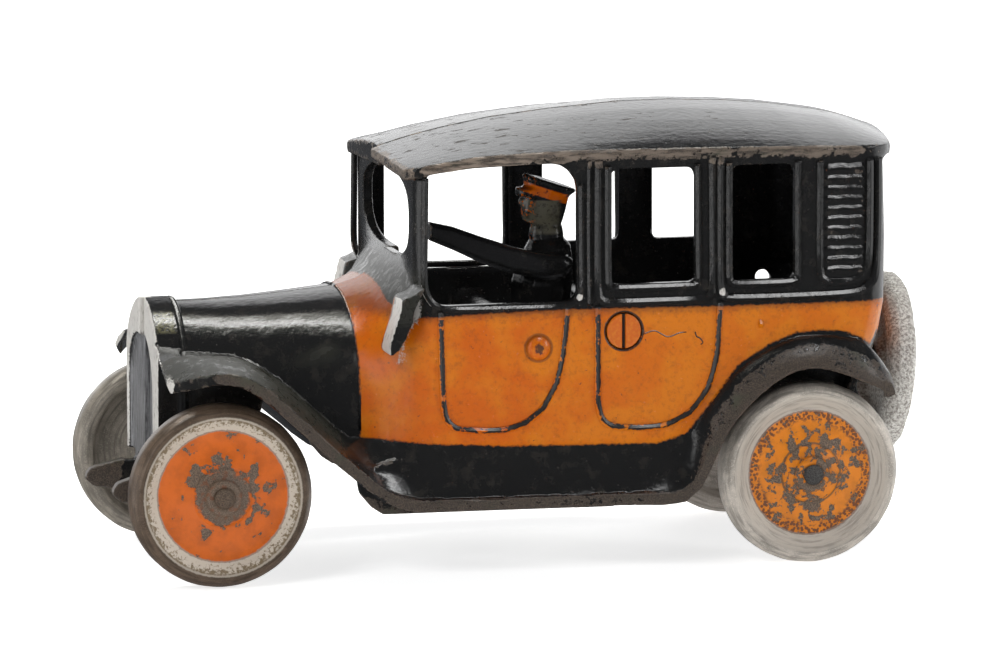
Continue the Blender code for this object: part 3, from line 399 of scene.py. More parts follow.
# %% [markdown]
# ## The castings' enamel
#
# The layers above go on in the order in which they came to be: paint, lines, knocks, wear. A
# little overspray darkens the orange under the belt. Enamel is smooth as glass, duller on the
# front fenders and under the windscreen, and iron is rough, so the roughness follows the same
# layers, and bare places lie a hair deeper than the paint.

# %%
# Enamel on the two halves


def body_enamel():
    """Two-colour enamel on the castings, worn to iron where hands and tables rubbed it."""
    g = Graph("casting_enamel")
    broad = g.cloud(9.0, 3.0)
    fine = g.cloud(0.9, 5.0, 0.6)
    grit = g.cloud(0.25, 2.0)
    orange, colour = two_colours(g, fine, broad)
    colour = outlined(g, colour, orange, fine, grit)
    colour, nicks, chipped = knocked(g, colour, orange, fine)
    colour, bare, bright = bared(g, colour, fine, grit, broad)
    spray = g.rise(g.add(g.axis(2), g.times(g.add(fine, -0.5), 3.0)), 62.2, 65.4)
    colour = g.tint(g.times(g.times(spray, orange), 0.55), colour, SOOT_AND_SHADE)

    rough = g.level(fine, 0.06, 0.16)
    dull = g.times(g.mark("dull"), g.rise(g.cloud(2.4, 4.0, 0.6), 0.30, 0.55))
    rough = g.level(dull, rough, 0.44)
    rough = g.level(orange, rough, 0.24)
    rough = g.level(bare, rough, 0.36)
    rough = g.level(chipped, rough, 0.52)
    rough = g.level(g.math("MAXIMUM", bright, g.mark("core")), rough, 0.40)
    rough = g.level(nicks, rough, 0.5)
    metallic = g.times(bright, 0.2)
    relief = g.add(g.times(grit, 0.25), g.times(g.cloud(1.8, 3.0), 0.9))
    relief = g.math("SUBTRACT", relief, g.times(g.add(bare, chipped), 0.5))
    return g.finish(colour, rough, metallic, g.bump(relief, 0.10), 0.45)


BODY_PAINT = body_enamel()
print(BODY_PAINT.name, "has", len(BODY_PAINT.node_tree.nodes), "nodes")

# %% [markdown]
# ## A wheel's own coordinates
#
# Everything on a wheel goes round its hub: the tyre, the pale ring and the painted disc. So a
# wheel's material first finds the distance from its centre. Four wheels with the same chips
# would look copied, so each moves its noise by a number of its own.

# %%
# Distances and noises on a wheel


class WheelGraph(Graph):
    """A node tree that knows the distance from its wheel's centre and its outer face."""

    def __init__(self, name, node, turn, side, shift):
        super().__init__(name)
        centred = self.vector("SUBTRACT", self.place, tuple(to_car(middle(node))))
        self.x, self.z = self.axis(0, centred), self.axis(2, centred)
        self.radius = self.length(self.x, self.z)
        self.painted = self.length(self.add(self.x, -shift[0]), self.add(self.z, -shift[1]))
        self.outer = self.rise(self.times(self.axis(1), float(side)), TRACK + 1.2, TRACK + 1.8)
        self.shifted = self.vector("ADD", centred, (turn, 3.0 * turn, -turn))
        self.fine = self.cloud(0.8, 5.0, 0.65, place=self.shifted)
        self.grit = self.cloud(0.28, 3.0, place=self.shifted)
        self.broad = self.cloud(5.0, 4.0, 0.6, place=self.shifted)


# %% [markdown]
# ## Tyre and ring
#
# The tyre is cast with the wheel. It is brown iron on the front left wheel, and light and
# streaked on the rear left one, as metal from a lathe is. Noise that is stretched round the hub
# gives those streaks. A pale ring lies between tyre and disc, grimy at its outer edge.

# %%
# Bare tyre and pale ring
RING_IN, RING_OUT = 15.4, 19.4


def wheel_metal(g, tyre, ring, speckled):
    """The metal's colour, and where the ring is."""
    iron = g.tint(g.rise(g.broad, 0.4, 0.65), tyre, tuple(0.62 * c for c in tyre))
    iron = g.tint(g.times(g.rise(g.grit, 0.5, 0.66), 0.6), iron, tuple(1.4 * c for c in tyre))
    gritty = g.add(g.fine, g.times(g.add(g.radius, -17.4), -0.09))
    clean = g.math("MAXIMUM", g.rise(gritty, 0.34, 0.50), speckled)
    pale = g.tint(clean, (0.20, 0.15, 0.09), ring)
    lathe = g.put("ShaderNodeCombineXYZ", {0: g.times(g.radius, 1.6), 1: g.times(g.x, 0.12),
                                           2: g.times(g.z, 0.12)}).outputs[0]
    lathe = g.rise(g.cloud(1.0, 3.0, 0.6, place=lathe), 0.45, 0.68)
    dull = tuple(0.45 * c for c in tyre)
    iron = g.tint(g.times(lathe, 0.8), iron, dull)
    pale = g.tint(g.times(lathe, 0.7 * speckled), pale, dull)
    band = g.times(g.rise(g.radius, RING_IN - 0.8, RING_IN),
                   g.rise(g.add(g.radius, g.times(g.fine, 1.4)), RING_OUT + 0.8, RING_OUT))
    band = g.times(band, g.outer)
    colour = g.tint(band, iron, pale)
    # A bright line just past the ring's outer edge, on the tyre's rounded crest: partly polish,
    # partly a painted highlight.
    edge = g.add(g.radius, g.add(-RING_OUT - 0.2, g.times(g.fine, 0.5)))
    polish_and_highlight = g.rise(g.math("ABSOLUTE", edge), 0.4, 0.1)
    return g.tint(g.times(polish_and_highlight, g.times(g.outer, 0.7)), colour, ring), band


# %% [markdown]
# ## The painted disc
#
# Only the outer face was painted, a little off centre on one wheel. The orange came off in
# ragged patches, most of all round the hub, and on the rear wheel it rusted through in dots
# along its rim. Patches are noise cut to islands, and the dots are the cells of a Voronoi.

# %%
# Orange disc, worn in patches
HUB_LINE_R = 7.9


def wheel_disc(g, colour, disc, disc_r, speckled, patches, patch_size, bare_hub):
    """The colour with its disc, where the paint was, and where it has gone."""
    edge = g.add(g.painted, g.times(g.add(g.fine, -0.5), 0.7))
    paint = g.times(g.rise(edge, disc_r, disc_r - 0.3), g.outer)
    blackened = g.times(g.rise(g.math("ABSOLUTE", g.add(edge, -disc_r)), 0.35, 0.1), g.outer)
    colour = g.tint(g.times(blackened, 0.6), colour, RUST)
    orange = g.tint(g.rise(g.broad, 0.38, 0.62), disc, tuple(0.8 * c for c in disc))
    rim = g.rise(g.add(g.painted, g.times(g.add(g.broad, -0.5), 4.0)), 12.2, 13.4)
    dots = g.rise(g.pits(0.72, g.shifted), 0.62, 0.46)
    away = g.math("ABSOLUTE", g.add(g.radius, g.add(-HUB_LINE_R, g.times(g.broad, 0.8))))
    orange = g.tint(g.times(g.rise(away, 0.35, 0.15), 0.7 * speckled), orange, OLIVE)
    orange = g.tint(g.times(g.times(rim, speckled), dots), orange, RUST)
    flakes = g.cloud(patch_size, 5.0, 0.62, place=g.shifted)
    flakes = g.add(flakes, g.times(g.rise(g.radius, 8.0, 14.5), -0.09))
    patch = g.rise(flakes, 0.57 - 0.12 * patches, 0.60 - 0.12 * patches)
    hub = g.add(g.radius, g.times(g.add(g.fine, -0.5), 3.0))
    hub = g.rise(hub, bare_hub + 0.4, bare_hub - 0.4)
    gone = g.math("MAXIMUM", patch, hub)
    worn = g.tint(g.rise(g.grit, 0.4, 0.65), (0.085, 0.058, 0.040), (0.19, 0.135, 0.095))
    colour = g.tint(paint, colour, g.tint(gone, orange, worn))
    rusty = g.times(hub, g.rise(g.cloud(1.5, 4.0, place=g.shifted), 0.52, 0.62))
    return g.tint(g.times(rusty, 0.7), colour, RUST), paint, gone


# %%
# Wheel paint put together


def wheel_paint(name, node, tyre, ring, disc, turn, side=-1, shift=(0.0, 0.0), speckled=0.0,
                patches=0.5, patch_size=4.6, bare_hub=6.0, gloss=0.30, disc_r=16.1):
    """Cast wheel: bare tyre, pale ring and an orange disc worn in patches. The turn moves the
    pattern, the shift moves the disc off centre."""
    g = WheelGraph(name, node, turn, side, shift)
    colour, band = wheel_metal(g, tyre, ring, speckled)
    colour, paint, gone = wheel_disc(g, colour, disc, disc_r, speckled, patches, patch_size,
                                     bare_hub)
    rough = g.level(g.math("MAXIMUM", paint, band), gloss, 0.40)
    rough = g.level(g.times(paint, gone), rough, 0.6)
    metallic = g.level(paint, 0.2, 0.0)
    grain = g.times(g.times(g.grit, g.level(band, 0.15, 0.8)), 0.8)
    relief = g.add(grain, g.times(g.fine, 0.6))
    relief = g.math("SUBTRACT", relief, g.times(g.times(paint, gone), 0.6))
    return g.finish(colour, rough, metallic, g.bump(relief, 0.16))


# %% [markdown]
# ## Unpainted iron
#
# The axles and the spare wheel were left bare. Sand leaves a grain on cast iron, and damp leaves
# rust in patches. One helper makes both the pale, clean metal of the spare and the dark metal of
# the axles: a fine noise for the grain, a broad one for stains, and the grain again as relief.

# %%
# Bare iron


def bare_iron(name, pale, deep, rust, grain=0.5, metallic=0.5, rough=0.45):
    """Unpainted casting with a granular face and rust in its hollows."""
    g = Graph(name)
    grit = g.cloud(grain, 4.0, 0.7)
    broad = g.cloud(6.0, 4.0, 0.6)
    colour = g.tint(g.rise(grit, 0.36, 0.62), deep, pale)
    stain = g.rise(g.cloud(3.2, 5.0, 0.65), 0.60, 0.74)
    colour = g.tint(g.times(stain, rust), colour, RUST)
    colour = g.tint(g.times(g.rise(broad, 0.55, 0.8), 0.5), colour, deep)
    return g.finish(colour, g.level(grit, rough + 0.15, rough), metallic, g.bump(grit, 0.22))


# %% [markdown]
# ## Strips
#
# The cab has fine raised beads round its doors and windows, thinner than the casting's wall.
# They could be carved into the mesh, but they are simpler as strips laid on it: one face with
# the bead's section, extruded from station to station along a path. The flanks of a bead slope,
# so that they catch the light as the poured ones do.

# %%
# Sections, and a strip along a path
FLANK = [(0.0, 1.0), (0.10, 0.97), (0.16, 0.92), (0.48, 0.68), (0.80, 0.44), (0.92, 0.25),
         (0.95, -0.1), (0.6, -0.8)]
BEAD = [*FLANK, (0.0, -0.98), *((-u, v) for u, v in FLANK[:0:-1])]
ROUND = [(math.cos(0.2 * math.pi * k), math.sin(0.2 * math.pi * k)) for k in range(10)]
print("a bead's section has", len(BEAD), "corners, a round one", len(ROUND))


def tube(path, radius, across, section=ROUND):
    """Closed strip: the section as one face, extruded from station to station along a path
    in millimetres. The section's second numbers run against the given direction."""
    path = np.asarray(path, float)
    ahead = np.gradient(path, axis=0)
    ahead /= np.linalg.norm(ahead, axis=1)[:, None]
    across = np.broadcast_to(np.asarray(across, float), path.shape)
    beside = np.cross(ahead, across)
    beside /= np.linalg.norm(beside, axis=1)[:, None]
    above = np.cross(ahead, beside)
    rings = [to_part(path + radius * (u * beside + v * above)) for u, v in section]
    bm = bmesh.new()
    face = bm.faces.new([bm.verts.new(ring[0]) for ring in rings])
    for station in range(1, len(path)):
        face = bmesh.ops.extrude_discrete_faces(bm, faces=[face])["faces"][0]
        for vert, ring in zip(face.verts, rings):
            vert.co = ring[station]
    bmesh.ops.holes_fill(bm, edges=bm.edges[:])
    bmesh.ops.recalc_face_normals(bm, faces=bm.faces[:])
    mesh = bpy.data.meshes.new("strip")
    bm.to_mesh(mesh)
    bm.free()
    return mesh


# %% [markdown]
# ## Beads on the cab's side
#
# A door outline is a smooth line through a few points read on the side of the cab. At the back
# corner the side turns inward, and the bead has to follow it. So the line is drawn flat first,
# as points along a curve, and each point is then set out to the cab's half width at its station.

# %%
# A curve, the cab's side and a bead on it


def curve_through(points, spacing=1.2):
    """Points along a smooth curve through a few chosen ones."""
    points = [np.asarray(p, float) for p in points]
    ends = [2 * points[0] - points[1]] + points + [2 * points[-1] - points[-2]]
    run = []
    for a, b, c, d in zip(ends, ends[1:], ends[2:], ends[3:]):
        steps = max(2, int(np.linalg.norm(c - b) / spacing))
        for t in np.arange(steps) / steps:
            run.append(0.5 * (2 * b + (c - a) * t + (2 * a - 5 * b + 4 * c - d) * t * t
                              + (3 * b - a - 3 * c + d) * t ** 3))
    run.append(points[-1])
    return np.array(run)


def side_y(x):
    """Half width of the cab at station x, round the back corner."""
    past = np.clip(np.asarray(x, float) - (CAB_REAR - CORNER_R), 0.0, CORNER_R)
    return SIDE_Y - CORNER_R + np.sqrt(CORNER_R ** 2 - past ** 2)


def side_bead(side, points, radius, sunk=-0.05):
    """Moulding on the cab's side through (x, z) points."""
    flat = curve_through([(x, z) for x, z in points], 0.7)
    y = side * (side_y(flat[:, 0]) - sunk)
    return tube(np.column_stack([flat[:, 0], y, flat[:, 1]]), radius, (0.0, -side, 0.0), BEAD)


print("half width at the very back of the corner, mm:", round(float(side_y(CAB_REAR)), 2))


# %% [markdown]
# ## Neighbours
#
# Relaxing a surface, evening out its normals and finding its sharp edges all need the same
# thing: the mean of each vertex's neighbours. Blender's own smoothing shrinks a thin casting.
# Plain arrays of vertices and edges do the same sum for the whole mesh at once, with the
# strengths chosen here.

# %%
# Meshes as arrays


def edges_of(mesh):
    pairs = np.empty(len(mesh.edges) * 2, np.int32)
    mesh.edges.foreach_get("vertices", pairs)
    return pairs.reshape(-1, 2)


def coordinates(mesh):
    co = np.empty(len(mesh.vertices) * 3, np.float32)
    mesh.vertices.foreach_get("co", co)
    return co.reshape(-1, 3).astype(float)


def spread(values, pairs, weights=None):
    """Mean of each vertex's neighbours."""
    n = len(values)
    weights = np.ones(len(pairs)) if weights is None else weights
    a, b = pairs[:, 0], pairs[:, 1]
    total = np.bincount(a, weights, n) + np.bincount(b, weights, n)
    out = np.empty_like(values)
    for k in range(values.shape[1]):
        out[:, k] = (np.bincount(a, weights * values[b, k], n)
                     + np.bincount(b, weights * values[a, k], n))
    return out / np.maximum(total, 1e-9)[:, None]


def evaluated(ob):
    graph = bpy.context.evaluated_depsgraph_get()
    return bpy.data.meshes.new_from_object(ob.evaluated_get(graph))


# %% [markdown]
# ## Shading without facets
#
# Gloss shows every facet of a remeshed wall. Each vertex's normal is averaged with neighbours
# that face nearly the same way, many times over. The broad faces then shine evenly, and edges
# stay edges, because normals that differ a lot hardly count.

# %%
# Evened normals


def smooth_normals(mesh, rounds, limit):
    """Vertex normals averaged with neighbours that face nearly the same way."""
    pairs = edges_of(mesh)
    normals = np.empty(len(mesh.vertices) * 3, np.float32)
    mesh.vertices.foreach_get("normal", normals)
    normals = normals.reshape(-1, 3).astype(float)
    for _ in range(rounds):
        near = np.einsum("ij,ij->i", normals[pairs[:, 0]], normals[pairs[:, 1]])
        weights = np.exp(-((1.0 - near) / (1.0 - math.cos(math.radians(limit)))) ** 2)
        mean = spread(normals, pairs, weights + 1e-9)
        normals = normals + 0.7 * (mean - normals)
        normals /= np.linalg.norm(normals, axis=1)[:, None]
    return normals


def shade(ob, rounds=120, limit=14.0):
    ob.data.shade_smooth()
    normals = smooth_normals(ob.data, rounds, limit)
    ob.data.normals_split_custom_set_from_vertices([tuple(n) for n in normals])
    return normals


# %% [markdown]
# ## Skins
#
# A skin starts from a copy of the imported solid, with its doubled corners merged. A voxel remesh
# gives it small even faces, and a gentle smoothing rounds every edge as poured iron is rounded.
# It is then thinned to a count that a game can carry, and long edges are split again, so that
# marks painted on the vertices stay where they belong.

# %%
# A copy of a solid, and strips joined to it


def cad_mesh(node):
    """The node's own solid as one welded mesh."""
    bm = bmesh.new()
    bm.from_mesh(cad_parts[node].data)
    bmesh.ops.remove_doubles(bm, verts=bm.verts, dist=0.000002)
    bmesh.ops.recalc_face_normals(bm, faces=bm.faces[:])
    mesh = bpy.data.meshes.new(node + "_source")
    bm.to_mesh(mesh)
    bm.free()
    return mesh


def append(ob, additions):
    """Closed strips joined to the object's mesh, each a body of its own."""
    bm = bmesh.new()
    bm.from_mesh(ob.data)
    for strip in additions:
        bm.from_mesh(strip)
    bm.to_mesh(ob.data)
    bm.free()


# %%
# Remeshed, relaxed and thinned


def even_out(mesh, longest):
    """Split every edge longer than this, so that painted marks stay where they belong."""
    bm = bmesh.new()
    bm.from_mesh(mesh)
    for _ in range(8):
        long = [edge for edge in bm.edges if edge.calc_length() > longest * MM]
        if not long:
            break
        bmesh.ops.subdivide_edges(bm, edges=long, cuts=1)
        bmesh.ops.triangulate(bm, faces=[face for face in bm.faces if len(face.verts) > 3])
    bm.to_mesh(mesh)
    bm.free()


def melt(name, mesh, voxel, most, relax=4, lumps=0.0):
    """Remeshed, softened copy of a mesh with at most this many triangles."""
    ob = bpy.data.objects.new(name, mesh)
    bpy.context.scene.collection.objects.link(ob)
    remesh = ob.modifiers.new("remesh", "REMESH")
    remesh.mode = "VOXEL"
    remesh.voxel_size = voxel * MM
    ob.data = evaluated(ob)
    ob.modifiers.clear()
    pairs = edges_of(ob.data)
    co = coordinates(ob.data)
    # A step toward the neighbours rounds the edges, and a shorter one back keeps the walls.
    for _ in range(relax):
        co += 0.5 * (spread(co, pairs) - co)
        co -= 0.52 * (spread(co, pairs) - co) * 0.9
    if lumps:
        normals = smooth_normals(ob.data, 2, 60.0)
        swell = [noise.fractal(Vector(p) / 0.006, 1.0, 2.0, 3) for p in co]
        co += normals * (np.array(swell) * lumps * MM)[:, None]
    ob.data.vertices.foreach_set("co", co.astype(np.float32).ravel())
    ob.data.update()
    count = sum(len(p.vertices) - 2 for p in ob.data.polygons)
    if count > most:
        thin = ob.modifiers.new("thin", "DECIMATE")
        thin.ratio = most / count
        ob.data = evaluated(ob)
        ob.modifiers.clear()
        even_out(ob.data, 1.8)
    ob.data.name = name
    print(name, "triangles", sum(len(p.vertices) - 2 for p in ob.data.polygons))
    return ob


# %% [markdown]
# ## Numbers painted on a mesh
#
# Paint follows the form: black beads, worn ridges, an orange field with a drawn outline. A
# vertex attribute carries such a number to the material, and unlike an image it needs no
# unwrapping. Two measures are used most: how far a vertex stands out from its neighbours, and
# how far it is from a line or inside an outline drawn on the side.

# %%
# Marks, sharpness and the distance to an outline


def paint_mark(mesh, name, values):
    made = mesh.attributes.new(name, "FLOAT", "POINT")
    made.data.foreach_set("value", np.asarray(values, np.float32))


def bulge(mesh):
    """How sharply each vertex stands out (positive) or in (negative), about -1 to 1."""
    pairs = edges_of(mesh)
    co = coordinates(mesh)
    normals = smooth_normals(mesh, 3, 80.0)
    depth = np.einsum("ij,ij->i", normals, co - spread(co, pairs))
    reach = np.linalg.norm(co[pairs[:, 0]] - co[pairs[:, 1]], axis=1).mean()
    sharp = (depth / reach)[:, None]
    for _ in range(2):
        sharp = 0.5 * sharp + 0.5 * spread(sharp, pairs)
    return np.clip(sharp[:, 0] * 6.0, -1.0, 1.0)


def outline_distance(points, outline, closed=True):
    """Signed distance from 2D points to an outline, positive inside, or plain distance to
    an open line."""
    outline = np.asarray(outline, float)
    starts = outline if closed else outline[:-1]
    ends = np.roll(outline, -1, axis=0) if closed else outline[1:]
    best = np.full(len(points), 1e9)
    inside = np.zeros(len(points), bool)
    for a, b in zip(starts, ends):
        run = b - a
        t = np.clip(((points - a) @ run) / max(run @ run, 1e-12), 0.0, 1.0)
        best = np.minimum(best, np.linalg.norm(points - (a + t[:, None] * run), axis=1))
        cross = (a[1] > points[:, 1]) != (b[1] > points[:, 1])
        with np.errstate(divide="ignore", invalid="ignore"):
            at = a[0] + (points[:, 1] - a[1]) * run[0] / run[1]
        inside ^= cross & (points[:, 0] < at)
    return np.where(inside, best, -best) if closed else best


# %% [markdown]
# ## Door and window mouldings
#
# Each door has a raised outline below the belt, open at the top. Each window has a thin rim, and
# the rear ones a second frame round it. Points are (x, z) on the cab's side, read from the view
# of the left side, and every line is given its own radius, because the window frames stand out
# more than the door outlines.

# %%
# Mouldings on the doors
FRONT_DOOR = [(54.4, 66.0), (54.6, 54.0), (55.0, 43.5), (55.8, 39.4), (58.2, 37.0), (64.1, 36.2),
              (70.3, 36.2), (75.3, 37.7), (79.9, 41.2), (83.4, 47.5), (85.1, 55.3), (86.2, 66.0)]
REAR_DOOR = [(93.7, 66.0), (93.7, 52.5), (93.8, 42.0), (94.8, 38.0), (97.4, 36.1), (104.3, 35.4),
             (110.8, 35.9), (116.9, 38.8), (121.4, 44.6), (123.7, 52.7), (124.6, 66.0)]
print("points in the door outlines:", len(FRONT_DOOR), len(REAR_DOOR))

# %%
# Mouldings round the windows and louvres
FRONT_RIM = [(50.6, 98.5), (50.4, 84.0), (50.3, 74.0), (50.9, 70.2), (53.6, 67.0), (58.0, 66.2),
             (70.0, 66.0), (84.0, 66.0), (88.4, 67.2), (89.6, 70.5), (89.6, 82.0), (89.5, 96.0)]
REAR_RIM = [(96.2, 100.0), (96.2, 84.0), (96.3, 72.0), (97.2, 70.4), (99.0, 70.0), (116.0, 70.0),
            (118.2, 70.5), (119.1, 72.0), (119.0, 84.0), (118.9, 100.0)]
REAR_FRAME = [(93.8, 101.5), (93.7, 84.0), (93.8, 70.0), (94.6, 67.4), (96.8, 66.6), (108.0, 66.5),
              (119.4, 66.6), (121.8, 67.6), (122.6, 70.0), (122.6, 84.0), (122.4, 101.5)]
QUARTER_RIM = [(126.7, 100.0), (126.7, 84.0), (126.8, 72.0), (127.6, 70.4), (129.4, 70.0),
               (141.0, 70.0), (143.4, 70.5), (144.2, 72.0), (144.2, 84.0), (144.2, 100.0)]
QUARTER_FRAME = [(124.6, 101.5), (124.5, 84.0), (124.7, 70.0), (125.6, 67.4), (128.0, 66.6),
                 (145.0, 66.5), (158.0, 66.9), (162.4, 68.6), (164.4, 72.0), (164.9, 84.0),
                 (164.9, 100.0)]
LOUVRE_FRAME = [(149.8, 99.8), (149.7, 84.0), (149.9, 73.0), (151.0, 70.4), (153.6, 69.7),
                (158.6, 70.2), (161.4, 72.4), (162.4, 76.4), (162.6, 88.0), (162.6, 99.8)]
PILLAR = [(91.6, 101.5), (91.5, 84.0), (91.7, 66.0)]
MOULDINGS = [(FRONT_DOOR, 0.85), (REAR_DOOR, 0.85), (FRONT_RIM, 0.9), (REAR_RIM, 1.0),
             (REAR_FRAME, 1.15), (QUARTER_RIM, 1.0), (QUARTER_FRAME, 1.15), (LOUVRE_FRAME, 1.0),
             (PILLAR, 0.8)]
print("mouldings on each side:", len(MOULDINGS))

# %% [markdown]
# ## Hood beads
#
# Two beads arch over the hood, one where it meets the cowl and a stout one behind the
# radiator's shell. The hood's section is a flattened arch, a superellipse, so each bead follows
# one, with the same height and half width, and runs straight down to the fender.

# %%
# Beads over the hood
HOOD_REAR = 36.0
HOOD_HALF_W, HOOD_TOP = 31.0, 67.6
RADIATOR_REAR = -5.0
RADIATOR_HALF_W, RADIATOR_TOP = 18.2, 65.2


def arch_bead(side, x, half_w, top, drop, power, foot, radius):
    """Moulding over the hood at one station."""
    angles = np.linspace(math.pi / 2.0, 0.0, 19)
    y = half_w * np.cos(angles).clip(0.0, 1.0) ** (2.0 / power)
    z = top - drop + drop * np.sin(angles).clip(0.0, 1.0) ** (2.0 / power)
    y = np.append(y, half_w)
    z = np.append(z, foot)
    y[0] = 0.6
    path = np.column_stack([np.full(len(y), x), side * (y - 0.15), z - 0.15])
    return tube(path, radius, (1.0, 0.0, 0.0))


# %% [markdown]
# ## Louvres
#
# Behind the quarter window a panel of short slanted bars imitates louvres. Each is a strip with
# a lean section, high at its lower edge, that thins toward both ends. A slight wave in its
# height keeps the row from looking machined.

# %%
# One louvre
LOUVRE_COUNT = 11
LOUVRE_X = (151.4, 160.6)
LOUVRE_Z = (73.2, 98.2)
SLAT = [(0.85, -0.9), (0.92, -0.2), (0.86, 0.04), (0.39, 0.39), (-0.07, 0.74), (-0.2, 0.80),
        (-0.35, 0.78), (-0.55, 0.55), (-0.7, 0.0), (-0.75, -0.9)]
print("louvres", LOUVRE_COUNT, "spaced", round((LOUVRE_Z[1] - LOUVRE_Z[0]) / (LOUVRE_COUNT - 1), 2))


def slat(side, z):
    """One louvre: a rounded bar, proud of the panel."""
    x = np.linspace(*LOUVRE_X, 17)
    ease = np.sqrt(np.clip(1.0 - np.abs(2.0 * (x - x[0]) / (x[-1] - x[0]) - 1.0) ** 8, 0.04, 1.0))
    y = side * (side_y(x) - 0.5 + 0.6 * ease)
    z = z + 0.12 * np.sin(1.3 * x + 2.0 * z)
    return tube(np.column_stack([x, y, z]), 1.0, (0.0, -side, 0.0), SLAT)


# %% [markdown]
# ## Marks of use on the left side
#
# A wandering scratch and a small chip lie behind the screw, a pip of iron stands out near the
# fender, and two pale chips sit at the feet of the pillars. Paint alone would look printed on,
# so the lines are narrow strips, set so deep that they hardly rise from the wall.

# %%
# Scratch, chips and pip, and all strips of one side
WHITE_CHIPS = [(89.0, 68.2), (124.9, 68.2)]
PIP = [(134.3, 60.0), (134.8, 60.0), (135.3, 60.0)]
SCRATCH = [(105.0, 58.4), (108.0, 59.2), (111.3, 57.6), (114.3, 58.5), (116.0, 58.6)]
CHIP = [(118.2, 58.6), (118.6, 57.4), (119.4, 57.0), (120.2, 55.9), (119.6, 55.4)]


def body_additions(side):
    made = [side_bead(side, points, radius) for points, radius in MOULDINGS]
    if side < 0:
        made += [side_bead(side, SCRATCH, 0.22, 0.12), side_bead(side, CHIP, 0.36, 0.25),
                 side_bead(side, PIP, 1.1, 0.25)]
    made += [slat(side, z) for z in np.linspace(*LOUVRE_Z, LOUVRE_COUNT)]
    made.append(arch_bead(side, HOOD_REAR + 0.3, HOOD_HALF_W, HOOD_TOP, 22.0, 2.1, 36.0, 0.5))
    made.append(arch_bead(side, RADIATOR_REAR + 0.4, RADIATOR_HALF_W, RADIATOR_TOP, 13.6, 1.75,
                          40.0, 1.1))
    return made


# %% [markdown]
# ## Soft edges for wear
#
# Wear never ends at a line. It could be painted by hand in weight paint, but numbers are easier
# to move. A soft step between two heights or widths, and a round dab that fades, are enough.

# %%
# Soft step and dab


def soft(value, low, high):
    """0 below low, 1 above high, or the reverse when low is above high."""
    t = np.clip((np.asarray(value, float) - low) / (high - low), 0.0, 1.0)
    return t * t * (3.0 - 2.0 * t)


def dab(points, centre, reach):
    """1 at the centre, fading to 0 at this distance."""
    return soft(np.linalg.norm(points - np.asarray(centre, float), axis=1), reach, 0.35 * reach)


print("a quarter of the way along, a soft step has risen to", float(soft(0.25, 0.0, 1.0)))


# %% [markdown]
# ## A casting to paint on
#
# Every mark asks the same questions of a vertex: how far back, how high and how far out it
# lies, and which way it faces. They are answered once for each half. Vertices after the skin's
# own count belong to strips.

# %%
# Where each vertex lies and faces


class Casting:
    def __init__(self, ob, side, skin):
        self.mesh = ob.data
        self.side = side
        self.normals = shade(ob)
        self.bead = np.arange(len(self.mesh.vertices)) >= skin
        points = to_car(coordinates(self.mesh))
        self.x, self.y, self.z = points.T
        self.out = np.abs(self.y)
        self.flat = points[:, [0, 2]]
        self.front = -self.normals[:, 0]
        self.outward = self.normals[:, 1] * side
        self.up = self.normals[:, 2]
        print("marks on", len(points), "vertices of the", "left" if side < 0 else "right", "half")


# %% [markdown]
# ## Where the orange goes
#
# The orange covers the cowl and the lower cab, outside only. Its outline is drawn on the side.
# Faces that look into the cab, the running board's strip, the undersides and the lamp lugs stay
# black, so they are told apart by how far out they lie and by the way they face. Round the back
# corner, outward is measured from the corner's own centre.

# %%
# The orange outline, and the orange mark
ORANGE_OUTLINE = [(36.3, 80.0), (43.9, 80.0), (43.9, 67.0), (46.8, 64.2), (54.0, 64.4),
                  (84.0, 65.2), (125.0, 64.6), (180.0, 64.6), (180.0, 52.0), (163.6, 53.6),
                  (160.0, 56.0), (155.5, 57.6), (150.5, 58.0), (144.0, 57.6), (137.0, 55.0),
                  (129.0, 50.0), (122.0, 41.0), (116.0, 33.6), (109.0, 31.4), (70.0, 32.2),
                  (36.3, 34.4)]


def mark_orange(c):
    """Distance inside the orange outline, or well outside it where the face is hidden."""
    wall = np.where(c.x > 48.5, side_y(c.x) - 2.0, 0.0)
    inner = (c.x > 48.5) & (c.out < wall) & (c.x < 166.0)
    cheek = np.interp(c.x, (36.0, 42.0, 48.5, 51.5), (31.0, 34.8, 39.2, SIDE_Y))
    strip = (c.out > cheek + 1.2) & (c.z < 62.0)
    under = (c.x < 52.0) & ((c.up < -0.3) | (c.outward < -0.3))
    lug_part = (c.out > cheek + 1.5) & (c.x < 56.0)
    corner = np.column_stack([np.maximum(c.x - (CAB_REAR - CORNER_R), 0.0),
                              np.maximum(c.out - (SIDE_Y - CORNER_R), 0.0)])
    corner /= np.maximum(np.linalg.norm(corner, axis=1), 1e-6)[:, None]
    looking = c.normals[:, 0] * corner[:, 0] + c.outward * corner[:, 1]
    hidden = (c.x > 52.0) & (looking < 0.15) & ((c.out < SIDE_Y - 0.4) | (c.x > 160.0))
    orange = outline_distance(c.flat, ORANGE_OUTLINE)
    covered = inner | under | lug_part | strip | hidden
    paint_mark(c.mesh, "orange", np.where(covered, -2.0, orange))


# %% [markdown]
# ## Black lines, dull fenders and ridges
#
# The beads of the door outlines carry their distance from the outline, which the material turns
# black. The front fender's top and the foot of the windscreen are duller than the rest. A ridge
# mark says where edges stand out, so that they lose paint first.

# %%
# Line, dull and ridge marks
BELT_Z = 64.5


def mark_lines(c):
    lines = np.minimum(outline_distance(c.flat, FRONT_DOOR, False),
                       outline_distance(c.flat, REAR_DOOR, False))
    lines = np.where(c.bead & (c.z < BELT_Z), lines - 0.15, 9.0)
    cut = np.minimum(outline_distance(c.flat, SCRATCH, False),
                     outline_distance(c.flat, CHIP, False))
    paint_mark(c.mesh, "line", np.where(c.bead & (cut < 0.6) & (c.side < 0), 0.15, lines))


